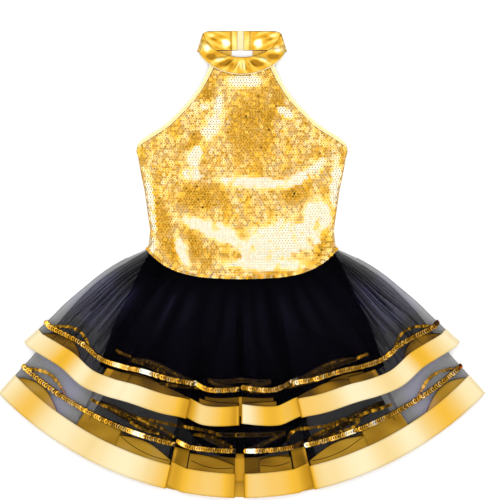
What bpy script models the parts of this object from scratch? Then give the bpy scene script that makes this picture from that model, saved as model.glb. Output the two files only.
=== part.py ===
"""A child's halter dance dress with a two-tier tutu skirt, laid flat on its back on a table.

The dress is unworn, so its front panels lie on its back panels. X runs across the dress, Y runs from the
hem to the collar and Z runs up from the table. Both skirt tiers are cut on the flare, and all their hems,
ribbons and pleats are laid out round one point, the apex, which is the centre of the skirt's sweep.
All sizes are in millimetres and become metres where a mesh is written.
"""

import math
from collections import namedtuple

import bpy
from mathutils import Vector

COLLECTION = "ballet_tutu_dress"
METRE = 1000.0

# Cloth and seams
CLOTH = 1.0
SEAM = 0.3
LAID_ON = CLOTH + SEAM  # from the middle of one cloth to the middle of the next one laid on it

# The skirt's sweep: radii are from the apex, angles are from straight down the middle
APEX_Y = 138.6
SEAM_RADIUS = 158.8  # the waist seam at the middle
SEAM_RISE = 19.0  # how much further from the apex the seam lies near the sides
SEAM_TURN = 46.0  # the angle at which it has done so
SEAM_CURVE = 2.3
STEADY = 34.0  # the pleats and creases lie inside this angle, the side columns outside it
INNER_STEADY = 28.0  # the same on the narrower inner skirt

# How far down from the waist the cloth has spread to its full depth, its pleats have laid over, and it has
# flared out to the angles it has at the hem
SPREAD = 45.0
TURNING = 62.0
LAID_OVER = 95.0
FLARED = 150.0

# The angle at the waist between side columns, between those in a pleat's steps and between those on its floor
SIDE_STEP, HIDDEN_STEP, FLOOR_STEP = 4.0, 0.07, 0.5

# The skirt's heights above the table, to the middle of each cloth, from the lowest layer up
Heights = namedtuple("Heights", "at_waist below")
UPPER_BACK = Heights(1.8, 1.8)
LOWER_BACK = Heights(3.2, 3.2)
INNER_BACK = Heights(4.5, 6.4)
INNER_FRONT = Heights(5.95, 8.05)
LOWER_FRONT = Heights(7.3, 9.4)
UPPER_FRONT = Heights(8.6, 18.4)
UPPER_SIDE_DROP, SIDE_DROP_CURVE = 5.5, 4  # the upper tier lies lower towards its sides
RIBBON_BACK = 1.8  # the lower tier's back beyond the upper one, with its own ribbon on the table

# A pleat's three layers, above the layer's own height
LOW, MID, TOP = 0.0, 4.4, 6.6

# Outlines: half of the angle that a layer spans at each radius
Span = namedtuple("Span", "radius half_angle")
UPPER_SPANS = (
    Span(176.8, 48.3),
    Span(199.0, 50.4),
    Span(223.0, 51.7),
    Span(248.0, 52.2),
    Span(276.0, 52.1),
    Span(314.0, 51.8),
    Span(339.0, 51.3),
    Span(371.0, 50.9),
    Span(393.0, 50.8),
)
LOWER_SPANS = (
    Span(176.8, 47.8),
    Span(199.0, 49.3),
    Span(223.0, 50.2),
    Span(248.0, 50.8),
    Span(273.0, 50.8),
    Span(329.0, 49.5),
    Span(388.0, 47.7),
    Span(414.0, 47.3),
    Span(465.0, 46.7),
)
INNER_SPANS = (
    Span(176.8, 46.6),
    Span(215.0, 43.2),
    Span(256.0, 40.2),
    Span(287.0, 38.7),
    Span(319.0, 36.6),
    Span(382.0, 33.8),
    Span(410.0, 33.0),
)

# Hems: the radius of a layer's lower edge at each angle, the same to the left and to the right. The inner
# skirt's dips at the middle.
Hem = namedtuple("Hem", "angle radius")
UPPER_HEM = (
    Hem(0.0, 362.5),
    Hem(8.0, 366.5),
    Hem(13.0, 362.0),
    Hem(18.0, 364.0),
    Hem(25.5, 367.0),
    Hem(31.0, 375.0),
    Hem(36.0, 381.0),
    Hem(42.0, 379.0),
    Hem(46.0, 383.5),
    Hem(51.0, 392.5),
)
LOWER_HEM = (
    Hem(0.0, 465.0),
    Hem(12.0, 464.5),
    Hem(24.0, 464.0),
    Hem(36.0, 465.0),
    Hem(47.0, 466.0),
)
INNER_HEM = (
    Hem(0.0, 412.0),
    Hem(5.0, 406.0),
    Hem(9.0, 392.0),
    Hem(13.0, 369.0),
    Hem(18.0, 357.0),
    Hem(26.0, 349.0),
    Hem(35.0, 342.0),
)

# Trims: how far their edges lie from the hem, measured down the cloth
Trim = namedtuple("Trim", "angle upper_edge")
UPPER_RIBBON = 27.0
LOWER_RIBBON = 34.0
RIBBON_OVERLAP = 5.0
BRAID_WIDTH = 6.5
UPPER_BRAID = (Trim(0.0, 53.5), Trim(20.0, 52.0), Trim(36.0, 49.5), Trim(51.0, 44.5))
LOWER_BRAID = (Trim(0.0, 69.0), Trim(20.0, 65.0), Trim(36.0, 59.5), Trim(47.0, 54.0))
UPPER_RIBBON_EDGE = (Trim(0.0, UPPER_RIBBON), Trim(90.0, UPPER_RIBBON))
LOWER_RIBBON_EDGE = (Trim(0.0, LOWER_RIBBON), Trim(90.0, LOWER_RIBBON))

# Pleats, from left to right. Where a run turns back, a round fold joins it to the next one. Drawn up is how
# much shorter the cloth hangs there, because a flared pleat's inner edge lies nearer the waist.
Run = namedtuple("Run", "start end height_start height_end drawn_up_start drawn_up_end columns")
UPPER_RUNS = (
    Run(-34.0, -23.6, LOW, TOP, 0.0, 0.0, 5),
    Run(-23.6, -12.6, TOP, TOP, 0.0, 0.0, 5),
    Run(-12.6, -21.5, MID, MID, 0.0, 14.0, 1),
    Run(-21.5, -12.6, LOW, LOW, 14.0, 2.0, 2),
    Run(-12.6, -9.4, LOW, TOP, 2.0, 0.0, 2),
    Run(-9.4, -0.8, TOP, TOP, 0.0, 0.0, 4),
    Run(-0.8, -9.2, MID, MID, 0.0, 12.0, 1),
    Run(-9.2, 7.8, LOW, LOW, 12.0, 12.0, 3),
    Run(7.8, 0.0, MID, MID, 12.0, 2.0, 1),
    Run(0.0, 8.2, TOP, TOP, 2.0, 0.0, 4),
    Run(8.2, 13.4, TOP, LOW, 0.0, 2.0, 2),
    Run(13.4, 22.0, LOW, LOW, 2.0, 14.0, 2),
    Run(22.0, 13.4, MID, MID, 14.0, 0.0, 1),
    Run(13.4, 24.1, TOP, TOP, 0.0, 0.0, 5),
    Run(24.1, 34.0, TOP, LOW, 0.0, 0.0, 5),
)
LOWER_RUNS = (
    Run(-34.0, -26.4, LOW, TOP, 0.0, 0.0, 4),
    Run(-26.4, -13.4, TOP, TOP, 0.0, 0.0, 6),
    Run(-13.4, -24.4, MID, MID, 0.0, 20.0, 1),
    Run(-24.4, -13.4, LOW, LOW, 20.0, 5.0, 2),
    Run(-13.4, -10.4, LOW, TOP, 5.0, 0.0, 2),
    Run(-10.4, -1.4, TOP, TOP, 0.0, 0.0, 4),
    Run(-1.4, -10.2, MID, MID, 0.0, 22.0, 1),
    Run(-10.2, 9.6, LOW, LOW, 22.0, 22.0, 3),
    Run(9.6, 0.5, MID, MID, 22.0, 0.0, 1),
    Run(0.5, 9.8, TOP, TOP, 0.0, 0.0, 4),
    Run(9.8, 12.7, TOP, LOW, 0.0, 5.0, 2),
    Run(12.7, 23.6, LOW, LOW, 5.0, 20.0, 2),
    Run(23.6, 12.7, MID, MID, 20.0, 0.0, 1),
    Run(12.7, 25.6, TOP, TOP, 0.0, 0.0, 6),
    Run(25.6, 34.0, TOP, LOW, 0.0, 0.0, 4),
)
FOLD_STEPS = 3
SIDE_COLUMNS = 4
SIDE_SHARE = 0.9  # the side columns lie outside the steady angle, or outside this share of the width
TURN_ANGLES = (54.0, 18.0, -18.0, -54.0)

# How long each layer's cloth is, and the rows it is built on, by the distance down from the waist
UPPER_LENGTH, LOWER_LENGTH, INNER_LENGTH = 206.0, 300.0, 240.0
UPPER_HEM_DOWN, ON_TABLE_DOWN = 214.0, 232.0
UPPER_DOWNS = (0.0, SPREAD, TURNING, LAID_OVER, FLARED)
LOWER_DOWNS = (*UPPER_DOWNS, UPPER_HEM_DOWN, ON_TABLE_DOWN)
INNER_DOWNS = (0.0, SPREAD, LAID_OVER, FLARED, INNER_LENGTH)

# How wide each layer's round turn at the sides is, at the waist and from this far down
TURN_WIDENED = 120.0
UPPER_TURNS = (6.0, 8.0)
LOWER_TURNS = (4.5, 5.0)
INNER_TURNS = (0.75, 0.85)

# The back of each tier has pressed creases that stand up from the table, none of them near the sides
Crease = namedtuple("Crease", "angle height")
BACK_CREASES = (
    Crease(-28.0, 1.6),
    Crease(-18.0, 2.0),
    Crease(-8.0, 1.4),
    Crease(4.0, 2.0),
    Crease(14.0, 1.7),
    Crease(26.0, 1.9),
)
CREASE_REACH = 4.0
BACK_STEP, INNER_STEP = 2.0, 4.0  # the angle between the columns of an unpleated face

# The gathers at the waist
GATHER_HEIGHT = 1.5
GATHER_PITCH = 7.1
GATHER_SWAY, GATHER_SWAY_RATE = 1.1, 0.21

# The collar, a flattened standing band: plan of its edges and height of its front
COLLAR_HALF_BOTTOM, COLLAR_HALF_TOP = 63.0, 55.3
COLLAR_SIDE_BOTTOM, COLLAR_SIDE_TOP = 296.8, 318.5
COLLAR_FRONT_BOTTOM, COLLAR_FRONT_TOP = 265.3, 289.1
COLLAR_BACK_BOTTOM, COLLAR_BACK_TOP, COLLAR_BACK_CORNER = 299.0, 326.2, 324.0
COLLAR_BOTTOM_CURVE, COLLAR_TOP_CURVE, COLLAR_ARCH_CURVE = 0.72, 0.64, 0.75
COLLAR_CORNER_SQUARENESS = 8
COLLAR_TURN = 3.0
COLLAR_SIDE_HEIGHT, COLLAR_ARCH = 3.7, 5.5
COLLAR_BACK_HEIGHT = 0.5
COLLAR_OPENING_LEFT, COLLAR_OPENING_RIGHT = -7.0, 2.8
COLLAR_FRONT_COLUMNS = 16
COLLAR_BACK_COLUMNS = 6

# The front of the bodice, a row for each line of its cloth from the neck down. The edge is where the
# armhole binding or the side seam starts, and the side turn is the roll of the front round to the back.
BodiceRow = namedtuple("BodiceRow", "edge_x edge_y middle_y edge_height middle_height turn_height turn_width")
BODICE_ROWS = (
    BodiceRow(49.3, 254.4, 243.0, 6.2, 8.4, 0.0, 1.0),
    BodiceRow(63.0, 233.1, 219.0, 5.0, 7.3, 0.0, 1.0),
    BodiceRow(81.8, 211.8, 196.0, 3.9, 6.2, 0.0, 1.0),
    BodiceRow(104.0, 190.8, 174.0, 3.1, 5.4, 0.0, 1.0),
    BodiceRow(134.4, 171.2, 153.0, 2.4, 4.8, 0.0, 1.0),
    BodiceRow(147.2, 160.8, 137.0, 1.3, 4.6, 1.4, 1.6),
    BodiceRow(144.3, 145.6, 118.0, 1.3, 4.6, 1.9, 2.6),
    BodiceRow(140.6, 124.6, 95.0, 1.3, 4.6, 2.2, 3.2),
    BodiceRow(135.5, 100.8, 69.0, 1.3, 4.6, 2.4, 3.6),
    BodiceRow(131.6, 72.0, 41.0, 1.3, 4.9, 2.8, 4.0),
    BodiceRow(128.0, 47.0, 15.0, 1.3, 6.2, 3.8, 4.6),
    BodiceRow(129.6, 32.0, -5.0, 1.3, 7.8, 5.6, 5.4),
)
BODICE_SHARES = (0.0, 0.14, 0.28, 0.42, 0.56, 0.69, 0.81, 0.91, 1.0)
BODICE_BOW, BODICE_SWELL = 2.2, 0.6
UNDERSIDE = -90.0  # the turn angle where the front's cloth ends
NECK_EDGE = 37.8
WAIST_GAP = 0.45
BACK_LAP = 2.5  # the bodice back reaches this far under the skirt

# The keyhole at the back of the neck, and the steps in which the bodice back's outline is drawn
KEYHOLE_HALF, KEYHOLE_SHOULDER, KEYHOLE_DEPTH = 14.7, 262.0, 22.0
KEYHOLE_STEPS, NECK_STEPS = 6, 4
WAIST_ANGLE, WAIST_STEP = 45, 5

# The armhole binding: it follows the front's armhole edge, turns round the underarm and runs up the back
BINDING_WIDTH = 5.6
UNDERARM_TIP_X, UNDERARM_TIP_Y = 143.4, 170.4
UNDERARM_ROW = 5  # the bodice row that starts at the underarm
UNDERARM_HEIGHT = 2.2  # how high the binding lies at the front of the underarm
UNDERARM_GAP, UNDERARM_INSET = 1.6, 0.8  # how far the binding and the back keep from the underarm's corner
BACK_ARMHOLE_TOP = ((44.6, 296.4), (39.6, 285.0), (39.9, 272.0))


def between(a, b, t):
    return a + (b - a) * t


def eased(value, start, end):
    """0 before start, 1 after end and a smooth rise from one to the other."""
    t = min(max((value - start) / (end - start), 0.0), 1.0)
    return t * t * (3.0 - 2.0 * t)


def through(table, at):
    """The smooth curve through a table's first two columns, read at one place."""
    rows = [(row[0], row[1]) for row in table]
    at = min(max(at, rows[0][0]), rows[-1][0])
    i = next(k for k in range(len(rows) - 1) if at <= rows[k + 1][0])
    slopes = []
    for k in (i, i + 1):
        before, after = rows[max(k - 1, 0)], rows[min(k + 1, len(rows) - 1)]
        slopes.append((after[1] - before[1]) / (after[0] - before[0]))
    (x0, y0), (x1, y1) = rows[i], rows[i + 1]
    width = x1 - x0
    t = (at - x0) / width
    return (
        (2 * t**3 - 3 * t**2 + 1) * y0
        + (t**3 - 2 * t**2 + t) * width * slopes[0]
        + (3 * t**2 - 2 * t**3) * y1
        + (t**3 - t**2) * width * slopes[1]
    )


def seam_radius(angle):
    """The waist seam: nearest the apex at the middle, further out towards the sides."""
    turn = min(abs(angle) / SEAM_TURN, 1.0)
    return SEAM_RADIUS + SEAM_RISE * math.sin(turn * math.pi / 2) ** SEAM_CURVE


def at_sweep(angle, radius, height):
    a = math.radians(angle)
    return Vector((radius * math.sin(a), APEX_Y - radius * math.cos(a), height))


def gather(angle, down):
    """The height of the waist's gathers, uneven across and fading down the cloth."""
    wave = math.sin(angle * 2 * math.pi / GATHER_PITCH + GATHER_SWAY * math.sin(angle * GATHER_SWAY_RATE))
    return GATHER_HEIGHT * (0.5 + 0.5 * wave) * eased(down, 0, SPREAD) * (1 - eased(down, SPREAD, FLARED))


def back_crease(angle, down):
    height = 0.0
    for crease in BACK_CREASES:
        away = min(abs(angle - crease.angle) / CREASE_REACH, 1.0)
        height += crease.height * (0.5 + 0.5 * math.cos(math.pi * away))
    return height * eased(down, 0, LAID_OVER)


# A pleated line of cloth at the hem: its angle, a shift along the hem in a fold, its height and how far it
# is drawn up. Nearer the waist a pleat is still a steep step, and a line hidden in it has a share of the
# step's drop, which gives it the height it is stepped at. Only the lines seen from above take up width at
# the waist.
Line = namedtuple("Line", "angle shift height drawn_up seen drop stepped")

# A column is one line of cloth from waist to hem. At the waist it lies at a share of the layer's width. At
# the hem it lies on its line, or at a reach, a share of the way to the side. A column in the round turn at
# a side has the turn's angle instead of a line.
Column = namedtuple("Column", "face waist reach line turn")
STILL = Line(STEADY, 0.0, 0.0, 0.0, True, 0.0, 0.0)
FOLD_DROP, RUN_DROP = 0.15, 1.0


def fold_lines(left, right):
    """The lines round a fold from one run to the next: a half circle between their two heights."""
    middle = (left.height_end + right.height_start) / 2
    half = (left.height_end - right.height_start) / 2
    outward = 1 if left.end > left.start else -1
    for step in range(1, FOLD_STEPS + 1):
        a = math.radians(90 - 180 * step / (FOLD_STEPS + 1))
        shift = outward * abs(half) * (math.cos(a) - 1)
        yield Line(left.end, shift, middle + half * math.sin(a), left.drawn_up_end, False, FOLD_DROP, 0.0)


def stepped_lines(lines):
    """The same lines, each stretch of hidden ones stepping from the line before it to the one after."""
    found = []
    for k, line in enumerate(lines):
        first = last = k
        while lines[first].drop:
            first -= 1
        while lines[last].drop:
            last += 1
        drops = [lines[j].drop or FOLD_DROP for j in range(first + 1, last + 1)]
        share = sum(drops[: k - first]) / sum(drops) if line.drop else 0.0
        found.append(line._replace(stepped=between(lines[first].height, lines[last].height, share)))
    return found


def pleated_lines(runs):
    """The lines of a pleated front, from the first run's start to the last one's end."""
    found = [STILL._replace(angle=runs[0].start)]
    for k, run in enumerate(runs):
        after = runs[k + 1] if k + 1 < len(runs) else None
        before = runs[k - 1] if k else None
        folds = after is not None and (after.end > after.start) != (run.end > run.start)
        folded = before is not None and (before.end > before.start) != (run.end > run.start)
        going = 1 if run.end > run.start else -1
        seen = going > 0 and max(run.height_start, run.height_end) > LOW
        start_shift = going * abs(run.height_start - before.height_end) / 2 if folded else 0.0
        end_shift = -going * abs(run.height_end - after.height_start) / 2 if folds else 0.0
        for step in range(0 if folded else 1, run.columns + 1):
            t = step / run.columns
            angle = between(run.start, run.end, t)
            height = between(run.height_start, run.height_end, eased(t, 0, 1))
            drawn_up = between(run.drawn_up_start, run.drawn_up_end, t)
            shift = between(start_shift, end_shift, t)
            drop = 0.0 if going > 0 else RUN_DROP if step else FOLD_DROP
            found.append(Line(angle, shift, height, drawn_up, seen, drop, 0.0))
        if folds:
            found.extend(fold_lines(run, after))
    return stepped_lines(found)


def plain_lines(half, step):
    """Evenly spaced lines out to an angle on each side, with no pleats."""
    count = round(2 * half / step)
    return [STILL._replace(angle=between(-half, half, k / count)) for k in range(count + 1)]


def face_columns(face, lines):
    """All of one face's columns from left to right: those near the left side, the middle ones, the right."""
    rows = [(-1 + k / SIDE_COLUMNS, STILL) for k in range(SIDE_COLUMNS)]
    rows += [(0.0, line) for line in lines]
    rows += [((k + 1) / SIDE_COLUMNS, STILL) for k in range(SIDE_COLUMNS)]
    places = [0.0]
    for (reach_before, before), (reach, line) in zip(rows, rows[1:]):
        step = HIDDEN_STEP if line.drop else FLOOR_STEP
        step = max(line.angle - before.angle, HIDDEN_STEP) if line.seen else step
        places.append(places[-1] + (SIDE_STEP if reach_before or reach else step))
    shares = [2 * place / places[-1] - 1 for place in places]
    return [Column(face, share, reach, line, None) for share, (reach, line) in zip(shares, rows)]


def ring_columns(front_lines, back_lines):
    """Columns all round a flattened layer: front from left to right, right side, back, left side."""
    front = face_columns(1, front_lines)
    back = face_columns(-1, back_lines)
    right = [Column(0, 1, 1, STILL, turn) for turn in TURN_ANGLES]
    left = [Column(0, -1, -1, STILL, turn) for turn in TURN_ANGLES]
    return front + right + back[::-1] + left[::-1]


class Layer:
    """One layer of the skirt, a flattened tube of cloth laid out round the apex."""

    def __init__(self, columns, spans, hem, front, back, turn_waist, turn_hem, length):
        self.columns = columns
        self.spans = spans
        self.hem = hem
        self.front = front
        self.back = back
        self.turn_waist = turn_waist
        self.turn_hem = turn_hem
        self.length = length  # about how long the cloth is from waist to hem

    def front_height(self, angle, down):
        return between(self.front.at_waist, self.front.below, eased(down, 0, SPREAD))

    def back_height(self, down):
        return between(self.back.at_waist, self.back.below, eased(down, 0, SPREAD))

    def crease(self, angle, down):
        return back_crease(angle, down)

    def gathered(self, angle, down):
        return gather(angle, down)

    def turn_width(self, down):
        return between(self.turn_waist, self.turn_hem, eased(down, 0, TURN_WIDENED))

    def limit(self, radius, down):
        """The angle at which the round turn to the back starts."""
        return through(self.spans, radius) - math.degrees(self.turn_width(down) / radius)

    def hem_angle(self, column):
        """About where the column ends at the hem, to the left or to the right alike."""
        if column.reach:
            return between(STEADY, self.spans[-1].half_angle, abs(column.reach))
        return abs(column.line.angle)

    def hem_radius(self, column):
        return through(self.hem, self.hem_angle(column)) - column.line.drawn_up

    def point(self, column, down, short_of_hem):
        """The column's point at a distance down from the waist, on a cloth that ends short of the hem."""
        start = seam_radius(column.waist * self.spans[0].half_angle)
        end = self.hem_radius(column) - short_of_hem
        radius = between(start, end, down / (self.length - short_of_hem))
        return self.at(column, radius, down)

    def at(self, column, radius, down):
        limit = self.limit(radius, down)
        if column.turn is not None:
            return self.turn_point(column, radius, down, limit)
        line, laid = column.line, eased(down, SPREAD, LAID_OVER)
        if column.reach:
            steady = min(STEADY, limit * SIDE_SHARE)
            angle = math.copysign(between(steady, limit, abs(column.reach)), column.reach)
        else:
            angle = line.angle
        angle = between(column.waist * limit, angle, eased(down, SPREAD, FLARED))
        angle += math.degrees(line.shift / radius) * laid
        if column.face > 0:
            height = self.front_height(angle, down) + self.gathered(angle, down)
            height += between(line.stepped, line.height, laid) * eased(down, 0, SPREAD)
        else:
            height = self.back_height(down) + self.crease(angle, down)
        return at_sweep(angle, radius, height)

    def turn_point(self, column, radius, down, limit):
        top = self.front_height(limit, down) + self.gathered(column.reach * limit, down)
        bottom = self.back_height(down)
        a = math.radians(column.turn)
        angle = limit + math.degrees(self.turn_width(down) * math.cos(a) / radius)
        height = (top + bottom) / 2 + (top - bottom) / 2 * math.sin(a)
        return at_sweep(column.reach * angle, radius, height)

    def rows(self, downs, short_of_hem=0.0):
        return [[self.point(column, down, short_of_hem) for column in self.columns] for down in downs]

    def strip(self, upper_edge, width):
        """Rows of a trim that follows the hem, from its upper edge's distance to the hem."""
        rows = []
        for drop in (0.0, width):
            row = []
            for column in self.columns:
                edge = through(upper_edge, self.hem_angle(column)) - drop
                row.append(self.at(column, self.hem_radius(column) - edge, self.length - edge))
            rows.append(row)
        return rows


class UpperTier(Layer):
    def front_height(self, angle, down):
        drop = UPPER_SIDE_DROP * min(abs(angle) / self.spans[-1].half_angle, 1) ** SIDE_DROP_CURVE
        return between(self.front.at_waist, self.front.below - drop, eased(down, 0, SPREAD))


class LowerTier(Layer):
    def back_height(self, down):
        """The back comes down to the table beyond the upper tier's hem."""
        return between(self.back.below, RIBBON_BACK, eased(down, UPPER_HEM_DOWN, ON_TABLE_DOWN))


class InnerSkirt(Layer):
    def crease(self, angle, down):
        return 0.0

    def gathered(self, angle, down):
        return 0.0


def moved_out(rows, distance, closed=True):
    """The same rows on the cloth's outer side, each point moved along the cloth's normal."""
    count = len(rows[0])
    moved = []
    for i, row in enumerate(rows):
        above, below = rows[max(i - 1, 0)], rows[min(i + 1, len(rows) - 1)]
        line = []
        for j, point in enumerate(row):
            before = row[(j - 1) % count] if closed else row[max(j - 1, 0)]
            after = row[(j + 1) % count] if closed else row[min(j + 1, count - 1)]
            in_edge = (point - before).normalized()
            out_edge = (after - point).normalized()
            along = (in_edge + out_edge).normalized() if (in_edge + out_edge).length > 1e-6 else out_edge
            normal = (below[j] - above[j]).cross(along).normalized()
            line.append(point + normal * distance)
        moved.append(line)
    return moved


def material(name, colour, roughness, metallic=0.0, alpha=1.0):
    made = bpy.data.materials.new(name)
    made.use_nodes = True
    shader = made.node_tree.nodes["Principled BSDF"]
    shader.inputs["Base Color"].default_value = (*colour, 1.0)
    shader.inputs["Roughness"].default_value = roughness
    shader.inputs["Metallic"].default_value = metallic
    shader.inputs["Alpha"].default_value = alpha
    return made


def cloth(name, rows, finish, closed):
    """A wall of cloth on rows of points, each row from left to right over the front and back underneath."""
    count = len(rows[0])
    points = [point / METRE for row in rows for point in row]
    faces = []
    for i in range(len(rows) - 1):
        for j in range(count if closed else count - 1):
            k = (j + 1) % count
            a, b = i * count + j, (i + 1) * count + j
            c, d = (i + 1) * count + k, i * count + k
            faces += [(a, b, c), (a, c, d)]
    mesh = bpy.data.meshes.new(name)
    mesh.from_pydata(points, [], faces)
    mesh.materials.append(finish)
    mesh.shade_smooth()
    piece = bpy.data.objects.new(name, mesh)
    dress.objects.link(piece)
    wall = piece.modifiers.new("Cloth wall", "SOLIDIFY")
    wall.thickness = CLOTH / METRE
    wall.offset = 0.0
    return piece


def flat_piece(name, outline, finish):
    """A flat piece of cloth on the table, cut to an outline of plan points."""
    curve = bpy.data.curves.new(name, "CURVE")
    curve.dimensions = "2D"
    curve.fill_mode = "BOTH"
    curve.extrude = CLOTH / 2 / METRE
    spline = curve.splines.new("POLY")
    spline.points.add(len(outline) - 1)
    for point, (x, y) in zip(spline.points, outline):
        point.co = (x / METRE, y / METRE, 0.0, 1.0)
    spline.use_cyclic_u = True
    curve.materials.append(finish)
    piece = bpy.data.objects.new(name, curve)
    piece.location.z = CLOTH / 2 / METRE
    dress.objects.link(piece)
    return piece


def make_skirt():
    net = material("black net", (0.012, 0.011, 0.016), 0.7, alpha=0.6)
    lining = material("black lining", (0.008, 0.008, 0.010), 0.6)
    satin = material("gold satin ribbon", (0.93, 0.68, 0.28), 0.35)
    braid = material("gold sequin braid", (0.85, 0.52, 0.10), 0.25, metallic=0.8)

    back, inner_lines = plain_lines(STEADY, BACK_STEP), plain_lines(INNER_STEADY, INNER_STEP)
    upper = UpperTier(
        ring_columns(pleated_lines(UPPER_RUNS), back),
        UPPER_SPANS, UPPER_HEM, UPPER_FRONT, UPPER_BACK, *UPPER_TURNS, UPPER_LENGTH,
    )
    lower = LowerTier(
        ring_columns(pleated_lines(LOWER_RUNS), back),
        LOWER_SPANS, LOWER_HEM, LOWER_FRONT, LOWER_BACK, *LOWER_TURNS, LOWER_LENGTH,
    )
    inner = InnerSkirt(
        ring_columns(inner_lines, inner_lines),
        INNER_SPANS, INNER_HEM, INNER_FRONT, INNER_BACK, *INNER_TURNS, INNER_LENGTH,
    )
    upper_end = UPPER_RIBBON - RIBBON_OVERLAP
    lower_end = LOWER_RIBBON - RIBBON_OVERLAP
    cloth("upper_tier", upper.rows((*UPPER_DOWNS, UPPER_LENGTH - upper_end), upper_end), net, True)
    cloth("lower_tier", lower.rows((*LOWER_DOWNS, LOWER_LENGTH - lower_end), lower_end), net, True)
    cloth("inner_skirt", inner.rows(INNER_DOWNS), lining, True)
    for name, layer, upper_edge, width, finish in (
        ("upper_ribbon", upper, UPPER_RIBBON_EDGE, UPPER_RIBBON, satin),
        ("lower_ribbon", lower, LOWER_RIBBON_EDGE, LOWER_RIBBON, satin),
        ("upper_sequin_braid", upper, UPPER_BRAID, BRAID_WIDTH, braid),
        ("lower_sequin_braid", lower, LOWER_BRAID, BRAID_WIDTH, braid),
    ):
        cloth(name, moved_out(layer.strip(upper_edge, width), LAID_ON), finish, True)
    return upper


def collar_front_height(share):
    return COLLAR_SIDE_HEIGHT + COLLAR_ARCH * (1 - share * share) ** COLLAR_ARCH_CURVE


def collar_bottom(share):
    """Plan height of the collar's front seam at a share of its half width."""
    rise = 1 - (1 - share * share) ** COLLAR_BOTTOM_CURVE
    return between(COLLAR_FRONT_BOTTOM, COLLAR_SIDE_BOTTOM, rise)


def collar_top(share):
    rise = 1 - (1 - share * share) ** COLLAR_TOP_CURVE
    return between(COLLAR_FRONT_TOP, COLLAR_SIDE_TOP, rise)


def collar_back_bottom(x):
    fall = (COLLAR_BACK_BOTTOM - COLLAR_SIDE_BOTTOM) * (x / COLLAR_HALF_BOTTOM) ** 2
    return COLLAR_BACK_BOTTOM - fall


def collar_back_top(x):
    share = min(abs(x) / (COLLAR_HALF_TOP - COLLAR_TURN), 1.0)
    return between(COLLAR_BACK_CORNER, COLLAR_BACK_TOP, (1 - share**COLLAR_CORNER_SQUARENESS) ** 0.5)


def collar_column_front(share):
    height = collar_front_height(share)
    half_top, half_bottom = COLLAR_HALF_TOP - COLLAR_TURN, COLLAR_HALF_BOTTOM - COLLAR_TURN
    top = Vector((share * half_top, collar_top(share), height))
    bottom = Vector((share * half_bottom, collar_bottom(share), height))
    return top, bottom


def collar_column_back(x_bottom):
    share = x_bottom / COLLAR_HALF_BOTTOM
    x_top = between(x_bottom, share * COLLAR_HALF_TOP, abs(share))
    top = Vector((x_top, collar_back_top(x_top), COLLAR_BACK_HEIGHT))
    bottom = Vector((x_bottom, collar_back_bottom(x_bottom), COLLAR_BACK_HEIGHT))
    return top, bottom


def collar_column_turn(side, turn):
    a = math.radians(turn)
    middle = (COLLAR_SIDE_HEIGHT + COLLAR_BACK_HEIGHT) / 2
    height = middle + (COLLAR_SIDE_HEIGHT - COLLAR_BACK_HEIGHT) / 2 * math.sin(a)
    out = COLLAR_TURN * (math.cos(a) - 1)
    top_y = between(COLLAR_SIDE_TOP, COLLAR_BACK_CORNER, (90 - turn) / 180)
    top = Vector((side * (COLLAR_HALF_TOP + out), top_y, height))
    bottom = Vector((side * (COLLAR_HALF_BOTTOM + out), COLLAR_SIDE_BOTTOM, height))
    return top, bottom


def make_collar():
    foil = material("gold foil cloth", (0.95, 0.72, 0.22), 0.22, metallic=0.7)
    cream = material("cream tape", (0.86, 0.80, 0.62), 0.8)
    half = COLLAR_HALF_BOTTOM - COLLAR_TURN
    columns = []
    for k in range(COLLAR_BACK_COLUMNS + 1):
        columns.append(collar_column_back(between(COLLAR_OPENING_LEFT, -half, k / COLLAR_BACK_COLUMNS)))
    columns += [collar_column_turn(-1, turn) for turn in reversed(TURN_ANGLES)]
    for k in range(COLLAR_FRONT_COLUMNS + 1):
        columns.append(collar_column_front(-1 + 2 * k / COLLAR_FRONT_COLUMNS))
    columns += [collar_column_turn(1, turn) for turn in TURN_ANGLES]
    for k in range(COLLAR_BACK_COLUMNS + 1):
        columns.append(collar_column_back(between(half, COLLAR_OPENING_RIGHT, k / COLLAR_BACK_COLUMNS)))
    rows = [[top.lerp(bottom, t) for top, bottom in columns] for t in (0.0, 0.5, 1.0)]
    cloth("collar", rows, foil, False)

    left, right = COLLAR_OPENING_LEFT + SEAM, COLLAR_OPENING_RIGHT - SEAM
    bottom, top = COLLAR_BACK_BOTTOM, COLLAR_BACK_TOP
    flat_piece("collar_underlap", [(left, bottom), (right, bottom), (right, top), (left, top)], cream)


def bodice_columns():
    """Columns across the bodice front: its share of the width, and its angle in the side turn."""
    left = [(-share, None) for share in reversed(BODICE_SHARES[1:])]
    right = [(share, None) for share in BODICE_SHARES]
    turned = (*TURN_ANGLES, UNDERSIDE)
    return [(-1, turn) for turn in reversed(turned)] + left + right + [(1, turn) for turn in turned]


def bodice_point(row, share, turn):
    flat = row.edge_x - row.turn_width
    top = row.edge_height + row.turn_height
    x, height = share * flat, between(top, row.middle_height, (1 - share * share) ** BODICE_SWELL)
    if turn is not None and row.turn_height:
        a = math.radians(45 + turn / 2)
        x = share * (flat + row.turn_width * math.cos(a))
        height = row.edge_height + row.turn_height * math.sin(a)
    elif turn is not None:
        x = share * (flat + row.turn_width * (90 - turn) / 180)
        height = row.edge_height
    away = abs(x) / row.edge_x
    return Vector((x, between(row.middle_y, row.edge_y, away**BODICE_BOW), height))


def neck_point(share, turn):
    """The bodice's top row, just below the collar's front seam."""
    x = share * (NECK_EDGE + (90 - turn) / 180 if turn is not None else NECK_EDGE)
    across = x / (COLLAR_HALF_BOTTOM - COLLAR_TURN)
    return Vector((x, collar_bottom(across) - SEAM, collar_front_height(across)))


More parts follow.
